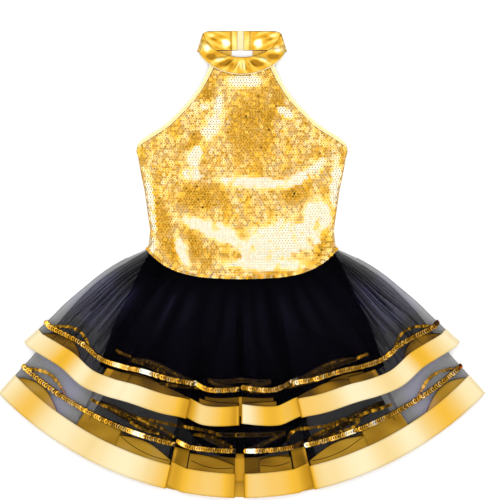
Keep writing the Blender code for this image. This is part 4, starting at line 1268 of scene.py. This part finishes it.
# Painted highlights and painted shade on the foil, where it is lighter or deeper: distance from the middle,
# Y, half sizes and change of tone
COLLAR_FRONT_PAINTED_LIGHT = (
    (0, 279, 6, 9, -0.4), (22, 281, 12, 6, 0.45), (30, 285, 8, 4, -0.35), (49, 301, 5, 6, -0.5),
    (44, 290, 9, 5, 0.3), (58, 305, 4, 10, -0.2),
)
COLLAR_BACK_PAINTED_LIGHT = (
    (22, 309, 7, 7, -0.75), (10, 312, 5, 14, -0.3), (36, 316, 9, 4, 0.3), (46, 319, 8, 3, -0.3),
)
FRONT_CREASE, BACK_WRINKLE = 1.5, 0.5  # the depth of the creases
CREASE_CENTRE, CREASE_COUNT = 296.0, 13
TAPE_LEVEL, CLOSING_HEM_LEVEL, STITCH_LEVEL = 0.6, 1.25, 1.55


def front_crease(x, y):
    """Creases that spread from the middle of the front band, where it is squashed flat."""
    turn = math.atan2(y - CREASE_CENTRE, x)
    away = math.hypot(x, y - CREASE_CENTRE)
    wave = math.sin(turn * CREASE_COUNT + 1.6 * noise.noise(Vector((x * 0.05, y * 0.05, 1.0))) + 0.6)
    return FRONT_CREASE * (0.5 + 0.5 * wave) ** 1.6 * eased(away, 6, 22)


def back_wrinkle(x, y):
    """Slanting wrinkles inside the back of the band."""
    across = y * 0.9 - abs(x) * 0.42
    wave = math.sin(across * 0.75 + 1.2 * noise.noise(Vector((x * 0.06, y * 0.06, 5.0))))
    return BACK_WRINKLE * (0.5 + 0.5 * wave) * eased(abs(x), 12, 26)


def collar_columns():
    """The band's columns from one closing edge round to the other: where each lies, its top and bottom."""
    half = COLLAR_HALF_BOTTOM - COLLAR_TURN
    steps = [k / COLLAR_BACK_COLUMNS for k in range(COLLAR_BACK_COLUMNS + 1)]
    shares = [-1 + 2 * k / COLLAR_FRONT_COLUMNS for k in range(COLLAR_FRONT_COLUMNS + 1)]
    return (
        [("back", *collar_column_back(between(COLLAR_OPENING_LEFT, -half, t))) for t in steps]
        + [("turn", *collar_column_turn(-1, turn)) for turn in reversed(TURN_ANGLES)]
        + [("front", *collar_column_front(share)) for share in shares]
        + [("turn", *collar_column_turn(1, turn)) for turn in TURN_ANGLES]
        + [("back", *collar_column_back(between(half, COLLAR_OPENING_RIGHT, t))) for t in steps]
    )


def make_collar(finishes):
    """The foil band, creased where it is squashed flat."""
    columns = collar_columns()
    kinds = [kind for kind, _, _ in columns]
    rows = []
    for i in range(COLLAR_ROWS + 1):
        rise = math.sin(math.pi * i / COLLAR_ROWS)
        row = [top.lerp(bottom, i / COLLAR_ROWS) for _, top, bottom in columns]
        for kind, point in zip(kinds, row):
            if kind == "front":
                point.z += front_crease(point.x, point.y) * rise**0.7
            elif kind == "back":
                point.z += 0.3 + back_wrinkle(point.x, point.y) * rise**0.5
        rows.append(row)

    # Painted light on the foil: lighter on the crests of the creases, a painted highlight, and deeper in
    # their hollows, painted shade
    def tone(i, j):
        point = rows[i][j]
        spots = COLLAR_BACK_PAINTED_LIGHT if kinds[j] == "back" else COLLAR_FRONT_PAINTED_LIGHT
        crest = back_wrinkle(point.x, point.y) / BACK_WRINKLE
        if kinds[j] == "front":
            crest = front_crease(point.x, point.y) / FRONT_CREASE
        value = 0.62 - 0.35 * crest
        for x, y, half_x, half_y, change in spots:
            away = math.hypot((abs(point.x) - x) / half_x, (point.y - y) / half_y)
            value += change * (1 - eased(away, 0.4, 1.2))
        return value
    mesh = cloth("collar_foil", rows, finishes["foil"], False, tone)
    return place(mesh, "collar", "gold_foil_cloth", THIN_WALL)


def make_closing(finishes):
    """The cream tape under the collar's closing edges, their turned hems and the stitches beside them."""
    left, right = COLLAR_OPENING_LEFT + SEAM, COLLAR_OPENING_RIGHT - SEAM
    rows = grid(12, 6, lambda down, across: Vector(
        (between(left, right, across), between(COLLAR_BACK_TOP, COLLAR_BACK_BOTTOM, down), TAPE_LEVEL)
    ))
    mesh = cloth("closing_tape", rows, finishes["tape"], False)
    tape = place(mesh, "collar_underlap", "cream_tape", TAPE_WALL)
    patches, stitches = [], []
    for edge, side in ((COLLAR_OPENING_LEFT, -1), (COLLAR_OPENING_RIGHT, 1)):
        near, far = sorted((edge + 0.3 * side, edge + 6.5 * side))
        patches.append(grid(8, 4, lambda down, across: Vector((
            between(near, far, across),
            between(COLLAR_BACK_TOP - 0.6, COLLAR_BACK_BOTTOM + 0.6, down),
            CLOSING_HEM_LEVEL + 0.2 * math.sin(math.pi * across),
        ))))
        zigzag = []
        for k in range(23):
            x = edge + 8.6 * side + (1.3 if k % 2 else -1.3)
            y = between(COLLAR_BACK_TOP - 1.5, COLLAR_BACK_BOTTOM + 1.5, k / 22)
            zigzag.append([Vector((x - 0.35, y, STITCH_LEVEL)), Vector((x + 0.35, y, STITCH_LEVEL))])
        stitches.append(zigzag)
    hems = place(strips("closing_hems", patches, finishes["foil"], [0.25, 0.25]), None, "gold_foil_cloth")
    thread = place(strips("hem_stitches", stitches, finishes["braid ground"], [0.5, 0.5]), None, "cream_tape")
    return tape, hems, thread


def bodice_columns():
    steps = [math.sin(math.pi / 2 * k / BODICE_COLUMNS) for k in range(BODICE_COLUMNS + 1)]
    left = [(-share, None) for share in reversed(steps[1:])]
    right = [(share, None) for share in steps]
    turned = (*TURN_ANGLES, -90.0)
    return [(-1, turn) for turn in reversed(turned)] + left + right + [(1, turn) for turn in turned]


def bodice_point(row, share, turn):
    flat = row.edge_x - row.turn_width
    top = row.edge_height + row.turn_height
    x, height = share * flat, between(top, row.middle_height, (1 - share * share) ** 0.6)
    if turn is not None and row.turn_height:
        a = math.radians(45 + turn / 2)
        x = share * (flat + row.turn_width * math.cos(a))
        height = row.edge_height + row.turn_height * math.sin(a)
    elif turn is not None:
        x = share * (flat + row.turn_width * (90 - turn) / 180)
        height = row.edge_height
    away = abs(x) / row.edge_x
    return Vector((x, between(row.middle_y, row.edge_y, away**BODICE_BOW), height))


def neck_point(share, turn):
    x = share * (NECK_EDGE + (90 - turn) / 180 if turn is not None else NECK_EDGE)
    across = x / (COLLAR_HALF_BOTTOM - COLLAR_TURN)
    return Vector((x, collar_bottom(across) - SEAM, collar_front_height(across)))


def waist_point(upper, share, turn):
    column = Column(1 if turn is None else 0, share, share, STILL, turn)
    start = seam_radius(share * upper.spans[0][1])
    point = upper.at(column, start, 0.0)
    apex = Vector((0.0, APEX_Y, point.z))
    return point + (apex - point).normalized() * WAIST_GAP


# Where the sequins lie flat and mirror the light above, and their tone is also a near-white painted
# highlight: middle, half sizes and tilt of each patch
BRIGHT_PATCHES = (
    (3, 255, 25, 9, 0), (-56, 219, 14, 4.5, 30), (-33, 218, 6, 19, -12), (-43, 193, 12, 19, -28),
    (-66, 150, 9, 19, -25), (-70, 126, 12, 9, 10), (14, 114, 50, 8, -4), (82, 121, 28, 8, 30),
    (105, 138, 15, 6, 42), (61, 212, 13, 6, -24), (52, 32, 66, 26, 12), (104, 66, 24, 22, 45),
    (-30, 44, 36, 12, -24), (30, 0, 60, 9, -2), (-84, 18, 7, 22, 22), (-62, 56, 22, 8, -20),
    (-128, 82, 6, 44, 6), (-126, 26, 6, 12, 0), (131, 112, 7, 40, -4),
)

# Where the sequins lean away from the light above and their tone is a deeper amber, painted shade, in the
# same terms
SHADED_PATCHES = (
    (16, 190, 32, 46, 0), (-56, 94, 34, 16, 4), (74, 101, 20, 11, 10), (-109, 50, 11, 44, 17),
    (-62, 22, 9, 30, 34), (-12, 8, 9, 18, 40), (-46, 244, 9, 16, -20), (47, 236, 9, 22, 12),
    (-70, 172, 20, 8, 40), (112, 32, 8, 22, -10), (70, -6, 40, 5, 12),
)


def patch_share(patches, x, y):
    """1 in the middle of a patch, 0 well outside all of them."""
    most = 0.0
    for middle_x, middle_y, half_x, half_y, tilt in patches:
        a = math.radians(tilt)
        dx, dy = x - middle_x, y - middle_y
        u = (dx * math.cos(a) + dy * math.sin(a)) / half_x
        v = (dy * math.cos(a) - dx * math.sin(a)) / half_y
        most = max(most, 1 - eased(math.hypot(u, v), 0.5, 1.5))
    return most


# How the front's sequins are set: the first row's Y, how many rows and how many to each side, how far a row
# sinks towards the sides, how far a sequin may be off its place and how much cloth it needs round it
FIRST_ROW, SEQUIN_ROWS, SEQUINS_ASIDE, ROW_SINK = 268.0, 100, 40, 4.0
OFF_ACROSS, OFF_DOWN, FREE_EDGE = 0.4, 0.3, 1.2
FLAT_LEAN, PLAIN_LEAN, DEEP_LEAN = 0.02, 0.36, 0.48
LOOSE_SHARE = 0.025  # the share of loose sequins, which look dark
ABOVE = 60.0  # a height above the whole dress


def bodice_spots(rows, rnd):
    """Rows of sequins all over the front. They mirror the light in the bright patches and lean elsewhere, and
    their tone paints a highlight in the bright patches and shade in the shaded ones.
    """
    surface = BVHTree.FromPolygons([point for row in rows for point in row], quads(len(rows), len(rows[0])))

    def cast(x, y):
        return surface.ray_cast(Vector((x, y, ABOVE)), Vector((0, 0, -1)))
    spots = []
    around = ((FREE_EDGE, 0), (-FREE_EDGE, 0), (0, FREE_EDGE), (0, -FREE_EDGE))
    for row in range(SEQUIN_ROWS):
        row_y = FIRST_ROW - row * SEQUIN_PITCH * math.sqrt(3) / 2
        for k in range(-SEQUINS_ASIDE, SEQUINS_ASIDE + 1):
            x = (k + 0.5 * (row % 2)) * SEQUIN_PITCH + rnd.uniform(-OFF_ACROSS, OFF_ACROSS)
            y = row_y + rnd.uniform(-OFF_DOWN, OFF_DOWN) + ROW_SINK * (x / 140.0) ** 2
            hit, normal, _, _ = cast(x, y)
            if hit is None or not all(cast(x + dx, y + dy)[0] for dx, dy in around):
                continue
            if normal.z < 0:
                normal.negate()
            ragged = noise.noise(Vector((x * 0.09, y * 0.09, 3.0)))
            flat = patch_share(BRIGHT_PATCHES, x, y) * (1 + 0.6 * ragged) + 0.3 * ragged
            flat = min(max(flat, 0.0), 1.0)
            shaded = patch_share(SHADED_PATCHES, x, y) * (1 + 0.8 * ragged)
            streak = noise.noise(Vector((x * 0.07, y * 0.035, 9.0)))
            swing = noise.noise(Vector((x * 0.02, y * 0.02, 7.0))) * math.pi + rnd.gauss(0, 1.5)
            lean = between(between(PLAIN_LEAN, DEEP_LEAN, shaded), FLAT_LEAN, flat)
            facing = normal + lean * Vector((math.cos(swing), math.sin(swing), 0))
            facing += Vector((rnd.gauss(0, 0.07), rnd.gauss(0, 0.07), 0))
            # The tone is painted light: near white in the bright patches, a painted highlight, and deeper in
            # the shaded ones, painted shade
            tone = max(0.3 + 0.34 * streak + 0.3 * shaded, 0.24)
            tone = between(tone, 0.0, eased(flat, 0.3, 0.9)) + rnd.uniform(-0.1, 0.12) * (1 - 0.6 * flat)
            if rnd.random() < LOOSE_SHARE * (1 - flat):
                tone += 0.4
            spots.append((hit + normal * SEQUIN_LIFT, facing.normalized(), rnd.uniform(0, 0.8), 1.0, tone))
    return spots


def waist_spots(edge, rnd):
    """One more line of sequins, along the waist seam."""
    spots, travelled, next_at = [], 0.0, 0.0
    for a, b in zip(edge, edge[1:]):
        length = (b - a).length
        while next_at <= travelled + length and length:
            spot = a.lerp(b, (next_at - travelled) / length) + Vector((0, 0.6, 2.0))
            facing = Vector((rnd.uniform(-0.5, 0.5), rnd.uniform(-0.5, 0.1), 1)).normalized()
            spots.append((spot, facing, rnd.uniform(0, 0.8), 1.1, rnd.uniform(0.1, 0.8)))
            next_at += SEQUIN_PITCH
        travelled += length
    return spots


def back_outline():
    """The outline of the back panel, from the foot of the keyhole round by the right side."""
    right = [(0.0, KEYHOLE_SHOULDER - KEYHOLE_DEPTH)]
    for k in range(1, 13):
        a = math.radians(7.5 * k)
        right.append((KEYHOLE_HALF * math.sin(a), KEYHOLE_SHOULDER - KEYHOLE_DEPTH * math.cos(a)))
    for k in range(5):
        x = between(KEYHOLE_HALF, BACK_ARMHOLE_TOP[0][0] - SEAM, k / 4)
        right.append((x, collar_back_bottom(x) - SEAM))
    right += [(x - SEAM, y) for x, y in BACK_ARMHOLE_TOP[1:]]
    right += [(row.edge_x - SEAM, row.edge_y - SEAM) for row in BODICE_ROWS[:UNDERARM_ROW]]
    corner = BODICE_ROWS[UNDERARM_ROW]
    right.append((corner.edge_x - UNDERARM_INSET, corner.edge_y - UNDERARM_INSET))
    right += [(row.edge_x + CLOTH / 2, row.edge_y) for row in BODICE_ROWS[UNDERARM_ROW + 1 :]]
    right += [tuple(at_sweep(angle, seam_radius(angle) + BACK_LAP, 0.0).xy) for angle in range(45, 0, -5)]
    bottom = at_sweep(0, seam_radius(0) + BACK_LAP, 0.0)
    return right + [(0.0, bottom.y)] + [(-x, y) for x, y in reversed(right[1:])]


def make_bodice(upper, finishes):
    """The front with its sequins, and the flat back."""
    columns = bodice_columns()
    rows = [[neck_point(*column) for column in columns]]
    rows += [[bodice_point(row, *column) for column in columns] for row in BODICE_ROWS]
    rows.append([waist_point(upper, *column) for column in columns])
    rows = smooth_rows(rows, 5)
    mesh = cloth("bodice_front_ground", rows, finishes["sequin cloth"], False)
    front = place(mesh, "bodice_front", "gold_sequin_cloth", THIN_WALL)

    rnd = random.Random(11)
    spots = bodice_spots(rows, rnd)
    sequin = make_sequin(SEQUIN_RADIUS, SEQUIN_RIM, SEQUIN_DISH)
    sewn = []
    for name, places in (("bodice_sequins", spots), ("waist_sequins", waist_spots(rows[-1], rnd))):
        mesh = sewn_on(name, sequin, places, SEQUIN_SHADES, finishes["sequins"])
        sewn.append(place(mesh, None, "gold_sequin_cloth"))

    points = [Vector((x, y, BACK_LEVEL)) for x, y in back_outline()]
    mesh = mesh_of("bodice_back_cloth", points, [tuple(range(len(points)))], finishes["sequin cloth"])
    mesh.shade_flat()
    back = place(mesh, "bodice_back", "gold_sequin_cloth", BACK_WALL)
    return front, *sewn, back


def binding_stations():
    """The binding on the right, as pairs of its outer and inner edge, from the front neck to the back."""
    neck = neck_point(1, -90.0)
    across = neck.x + BINDING_WIDTH
    share = across / (COLLAR_HALF_BOTTOM - COLLAR_TURN)
    outer = Vector((across, collar_bottom(share) - SEAM, neck.z))
    stations = [(outer, neck + (outer - neck).normalized() * SEAM)]
    edge = [neck] + [bodice_point(row, 1, -90.0) for row in BODICE_ROWS[:UNDERARM_ROW]]
    corner = BODICE_ROWS[UNDERARM_ROW]
    underarm = Vector((corner.edge_x, corner.edge_y, UNDERARM_HEIGHT))
    edge.append(underarm)
    for before, here, after in zip(edge, edge[1:], edge[2:]):
        along = (after - before).normalized()
        out = Vector((-along.y, along.x, 0)).normalized()
        stations.append((here + out * (SEAM + BINDING_WIDTH), here + out * SEAM))
    tip = Vector((UNDERARM_TIP_X, UNDERARM_TIP_Y, underarm.z))
    stations.append((tip, underarm + (tip - underarm).normalized() * UNDERARM_GAP))

    middle = (underarm.z + COLLAR_BACK_HEIGHT) / 2
    half = (underarm.z - COLLAR_BACK_HEIGHT) / 2
    outer, inner = stations[-1]
    for turn in (54.0, 18.0, -18.0, -54.0):
        a = math.radians(turn)
        shift = Vector((half * math.cos(a), 0, middle + half * math.sin(a) - outer.z))
        stations.append((outer + shift, inner + shift))

    front = stations[1 : len(edge)]
    for outer, inner in reversed(front):
        stations.append(tuple(Vector((*edge.xy, COLLAR_BACK_HEIGHT)) for edge in (outer, inner)))
    for x, y in reversed(BACK_ARMHOLE_TOP):
        inner = Vector((x, y, COLLAR_BACK_HEIGHT))
        stations.append((inner + Vector((BINDING_WIDTH, 0, 0)), inner))
    return stations


# Painted light and shade across a binding, each tone up to a share of its width from the outer edge: pale
# towards the outer edge, deeper across the middle, a bright painted highlight near the inner edge and painted
# shade at the inner edge itself
BINDING_PAINTED_LIGHT = ((0.3, 0.0), (0.45, 0.25), (0.7, 0.6), (0.88, 0.1), (1.0, 0.95))
BINDING_STEPS = 8


def make_bindings(finishes):
    """Each binding is rolled a little over its edge, and a painted highlight runs as a bright line near its
    inner edge.
    """
    pieces = []
    for side, name in ((1, "armhole_binding_right"), (-1, "armhole_binding_left")):
        stations = [[outer, inner] for outer, inner in binding_stations()]
        across = []
        for outer, inner in smooth_rows(stations, 6):
            line = []
            for k in range(BINDING_STEPS + 1):
                point = outer.lerp(inner, k / BINDING_STEPS)
                roll = math.sin(math.pi * k / BINDING_STEPS) ** 0.7
                point.z += 0.25 + (0.9 * roll if point.z > 1.5 else 0.2 * roll)
                line.append(Vector((side * point.x, point.y, point.z)))
            across.append(line[::side])

        def tone(i, j, side=side):
            share = i / BINDING_STEPS if side > 0 else 1 - i / BINDING_STEPS
            return next(shade for reach, shade in BINDING_PAINTED_LIGHT if share <= reach)
        rows = [list(row) for row in zip(*across)]
        mesh = cloth(name + "_satin", rows, finishes["binding"], False, tone)
        pieces.append(place(mesh, name, "pale_gold_binding", THIN_WALL))
    return pieces


def make_neck_seam(finishes):
    """The thin rolled edge between the collar and the bodice."""
    spine = []
    for k in range(61):
        share = -0.98 + 1.96 * k / 60
        x = share * (COLLAR_HALF_BOTTOM - COLLAR_TURN)
        spine.append(Vector((x, collar_bottom(share) - 0.2, collar_front_height(share) + 0.7)))
    rows = []
    for k, point in enumerate(spine):
        along = direction(spine, k)
        side = along.cross(Vector((0, 0, 1))).normalized()
        up = side.cross(along)
        turns = [math.radians(45 * n) for n in range(8)]
        rows.append([point + (side * math.cos(a) + up * math.sin(a)) * NECK_ROLL for a in turns])
    points = [point for row in rows for point in row]
    faces = [(first, *rest[::-1]) for first, *rest in quads(len(rows), 8, closed=True)]
    faces += [tuple(range(8))[::-1], tuple(range(len(points) - 8, len(points)))]
    mesh = mesh_of("neck_seam", points, faces, finishes["binding"])
    with_tone(mesh, [0.25] * len(points))
    mesh.uv_layers.new(name="cloth")
    place(mesh, None, "pale_gold_binding")


def make_light():
    world = bpy.data.worlds.new("Studio")
    bpy.context.scene.world = world
    world.use_nodes = True
    background = world.node_tree.nodes["Background"].inputs
    background["Color"].default_value = (1.0, 1.0, 1.0, 1.0)
    background["Strength"].default_value = STUDIO_LIGHT
    light = bpy.data.lights.new("Overhead panel", "AREA")
    light.shape = "SQUARE"
    light.size = PANEL_SIZE
    light.energy = PANEL_RADIANCE * math.pi * PANEL_SIZE * PANEL_SIZE
    lamp = bpy.data.objects.new("Overhead panel", light)
    lamp.location = (0.0, 0.0, PANEL_HEIGHT)
    lamp.visible_camera = False
    bpy.context.scene.collection.objects.link(lamp)


def make_floor():
    bpy.ops.mesh.primitive_plane_add(size=TABLE_SIZE, location=(0.0, 0.0, -TABLE_DROP))
    floor = bpy.context.object
    floor.name = "Table"
    finish = Finish("Pale table", roughness=0.9, specular_ior_level=0.1)
    finish.shader.inputs["Base Color"].default_value = (TABLE_WHITE, TABLE_WHITE, TABLE_WHITE, 1.0)
    floor.data.materials.append(finish.made)


def make_camera():
    camera = bpy.data.objects.new("Camera", bpy.data.cameras.new("Camera"))
    camera.location = (CAMERA_X / METRE, CAMERA_Y / METRE, CAMERA_HEIGHT / METRE)
    camera.data.sensor_fit = "HORIZONTAL"
    camera.data.sensor_width = SENSOR
    camera.data.lens = SENSOR * CAMERA_HEIGHT / PICTURE_WIDTH
    camera.data.clip_end = 20.0
    bpy.context.scene.collection.objects.link(camera)
    bpy.context.scene.camera = camera


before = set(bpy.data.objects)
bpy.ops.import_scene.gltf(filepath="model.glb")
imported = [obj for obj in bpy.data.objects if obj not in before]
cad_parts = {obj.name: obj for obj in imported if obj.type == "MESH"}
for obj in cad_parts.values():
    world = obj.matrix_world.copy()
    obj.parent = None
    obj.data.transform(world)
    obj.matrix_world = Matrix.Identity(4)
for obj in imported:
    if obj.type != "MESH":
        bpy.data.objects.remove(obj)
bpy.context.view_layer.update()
bpy.context.scene.view_settings.view_transform = "Standard"
bpy.context.scene.cycles.transparent_max_bounces = 40  # the net lies many layers deep
make_camera()
make_light()
make_floor()

FINISHES = {
    "upper net": net_finish("Black net, upper tier", NET_STRENGTH),
    "lower net": net_finish("Black net, lower tier", NET_STRENGTH),
    "lining": lining_finish(),
    "satin": satin_finish(),
    "sequins": sequin_finish(),
    "sequin cloth": sequin_cloth_finish(),
    "braid ground": braid_ground_finish(),
    "tucks": net_finish("Black net, folds", FOLD_STRENGTH),
    "fold edges": net_finish("Black net, pressed edges", EDGE_STRENGTH),
    "foil": foil_finish(),
    "binding": binding_finish(),
    "tape": tape_finish(),
}
upper_layer, skirt = make_skirt(FINISHES)
collar = make_collar(FINISHES)
tape, hems, stitches = make_closing(FINISHES)
bodice, sequins, waist_sequins, bodice_back = make_bodice(upper_layer, FINISHES)
binding_right, binding_left = make_bindings(FINISHES)
make_neck_seam(FINISHES)
